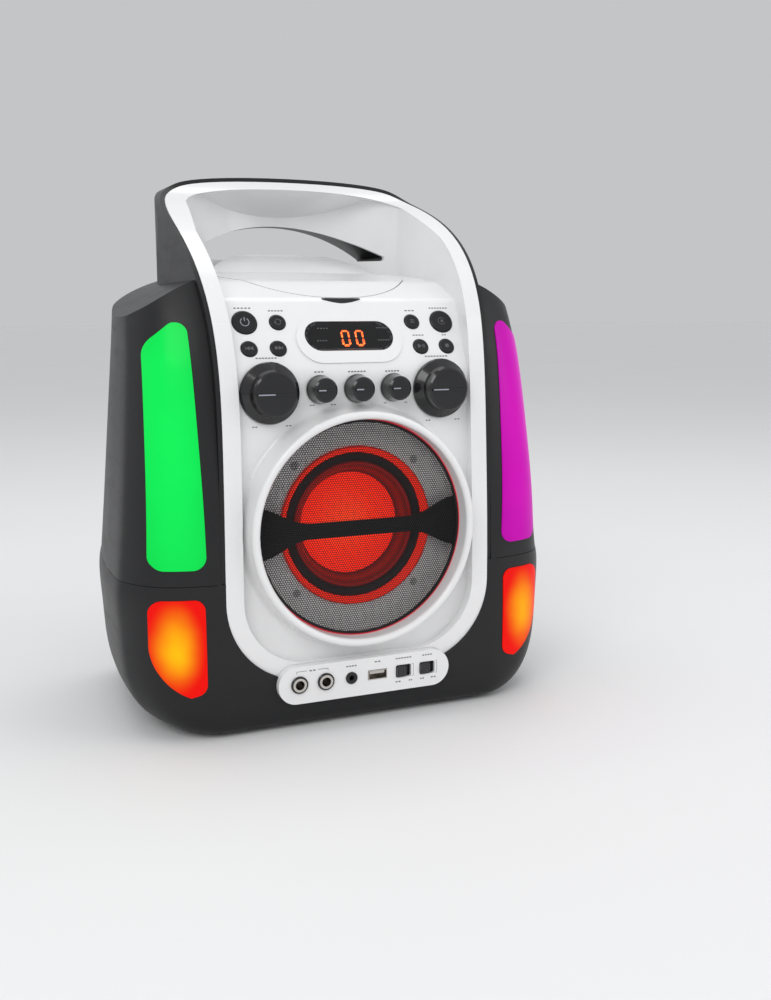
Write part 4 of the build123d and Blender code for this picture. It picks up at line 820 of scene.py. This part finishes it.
# ------------------------------------------------------------------ floor, lights and camera
def floor_paint():
    """Pale matt floor with a very slight cloud in its grey-white."""
    finish, tree, shader, where = start_finish("pale_floor", (0.8, 0.8, 0.8), 0.7, specular=0.2)
    shade = blended(tree, noise(tree, where, 2.0, 3.0), (0.79, 0.79, 0.79), (0.82, 0.82, 0.82))
    tree.links.new(shade, shader.inputs["Base Color"])
    return finish


def floor_sheet(half=40.0):
    """A flat floor at z = 0 that runs out to the horizon."""
    mesh = bpy.data.meshes.new("floor")
    corners = [(-half, -half, 0), (half, -half, 0), (half, half, 0), (-half, half, 0)]
    mesh.from_pydata(corners, [], [(0, 1, 2, 3)])
    floor = bpy.data.objects.new("floor", mesh)
    bpy.context.scene.collection.objects.link(floor)
    mesh.materials.append(floor_paint())


def softbox(name, spot, aim, size, watts):
    """A soft rectangular lamp at a spot in metres, turned to aim at another."""
    lamp = bpy.data.lights.new(name, "AREA")
    lamp.shape = "RECTANGLE"
    lamp.size, lamp.size_y = size
    lamp.energy = watts
    holder = bpy.data.objects.new(name, lamp)
    bpy.context.scene.collection.objects.link(holder)
    holder.location = spot
    holder.rotation_euler = (Vector(aim) - Vector(spot)).to_track_quat("-Z", "Y").to_euler()


def room_light(lit=0.72, seen=0.6):
    """Even room light that the camera sees a little darker than it lights.

    Strength = lit + (seen - lit) x (1 on rays from the camera, straight or through the smoked window)."""
    world = bpy.data.worlds.new("room")
    bpy.context.scene.world = world
    world.use_nodes = True
    tree = world.node_tree
    sky = tree.nodes["Background"]
    sky.inputs["Color"].default_value = (0.92, 0.93, 0.95, 1)
    path = tree.nodes.new("ShaderNodeLightPath").outputs
    direct = maths(tree, "MAXIMUM", path["Is Camera Ray"], path["Is Transmission Ray"])
    tree.links.new(maths(tree, "MULTIPLY_ADD", direct, seen - lit, lit), sky.inputs["Strength"])


CAMERA_SPOT = (-0.28743, -0.69489 - BACK_SHIFT * MM, 0.27885)      # metres
CAMERA_TURN = (80.83686, 0.22363, -23.46644)    # degrees: up from looking down, roll, heading
FOCAL_PIXELS = 1133.35         # focal length, counted in pixels of a picture whose longer side is the next
PICTURE_PIXELS = 1000
SENSOR_MM = 36


def set_camera():
    """The viewpoint, with the focal length from its count of pixels."""
    camera_data = bpy.data.cameras.new("camera")
    camera_data.lens = FOCAL_PIXELS * SENSOR_MM / PICTURE_PIXELS
    camera_data.sensor_width = SENSOR_MM
    camera_data.sensor_fit = "AUTO"
    camera = bpy.data.objects.new("camera", camera_data)
    bpy.context.scene.collection.objects.link(camera)
    camera.location = CAMERA_SPOT
    camera.rotation_euler = [math.radians(angle) for angle in CAMERA_TURN]
    bpy.context.scene.camera = camera
    bpy.context.scene.view_settings.view_transform = "Standard"


floor_sheet()
softbox("key", (-1.3, -1.7, 1.7), (0, 0, 0.18), (1.4, 1.2), 20)
softbox("fill", (1.6, -1.2, 1.0), (0, 0, 0.18), (1.2, 1.2), 8)
softbox("top", (0.0, 0.3, 1.9), (0, 0, 0.2), (1.6, 1.2), 9)
room_light()
set_camera()
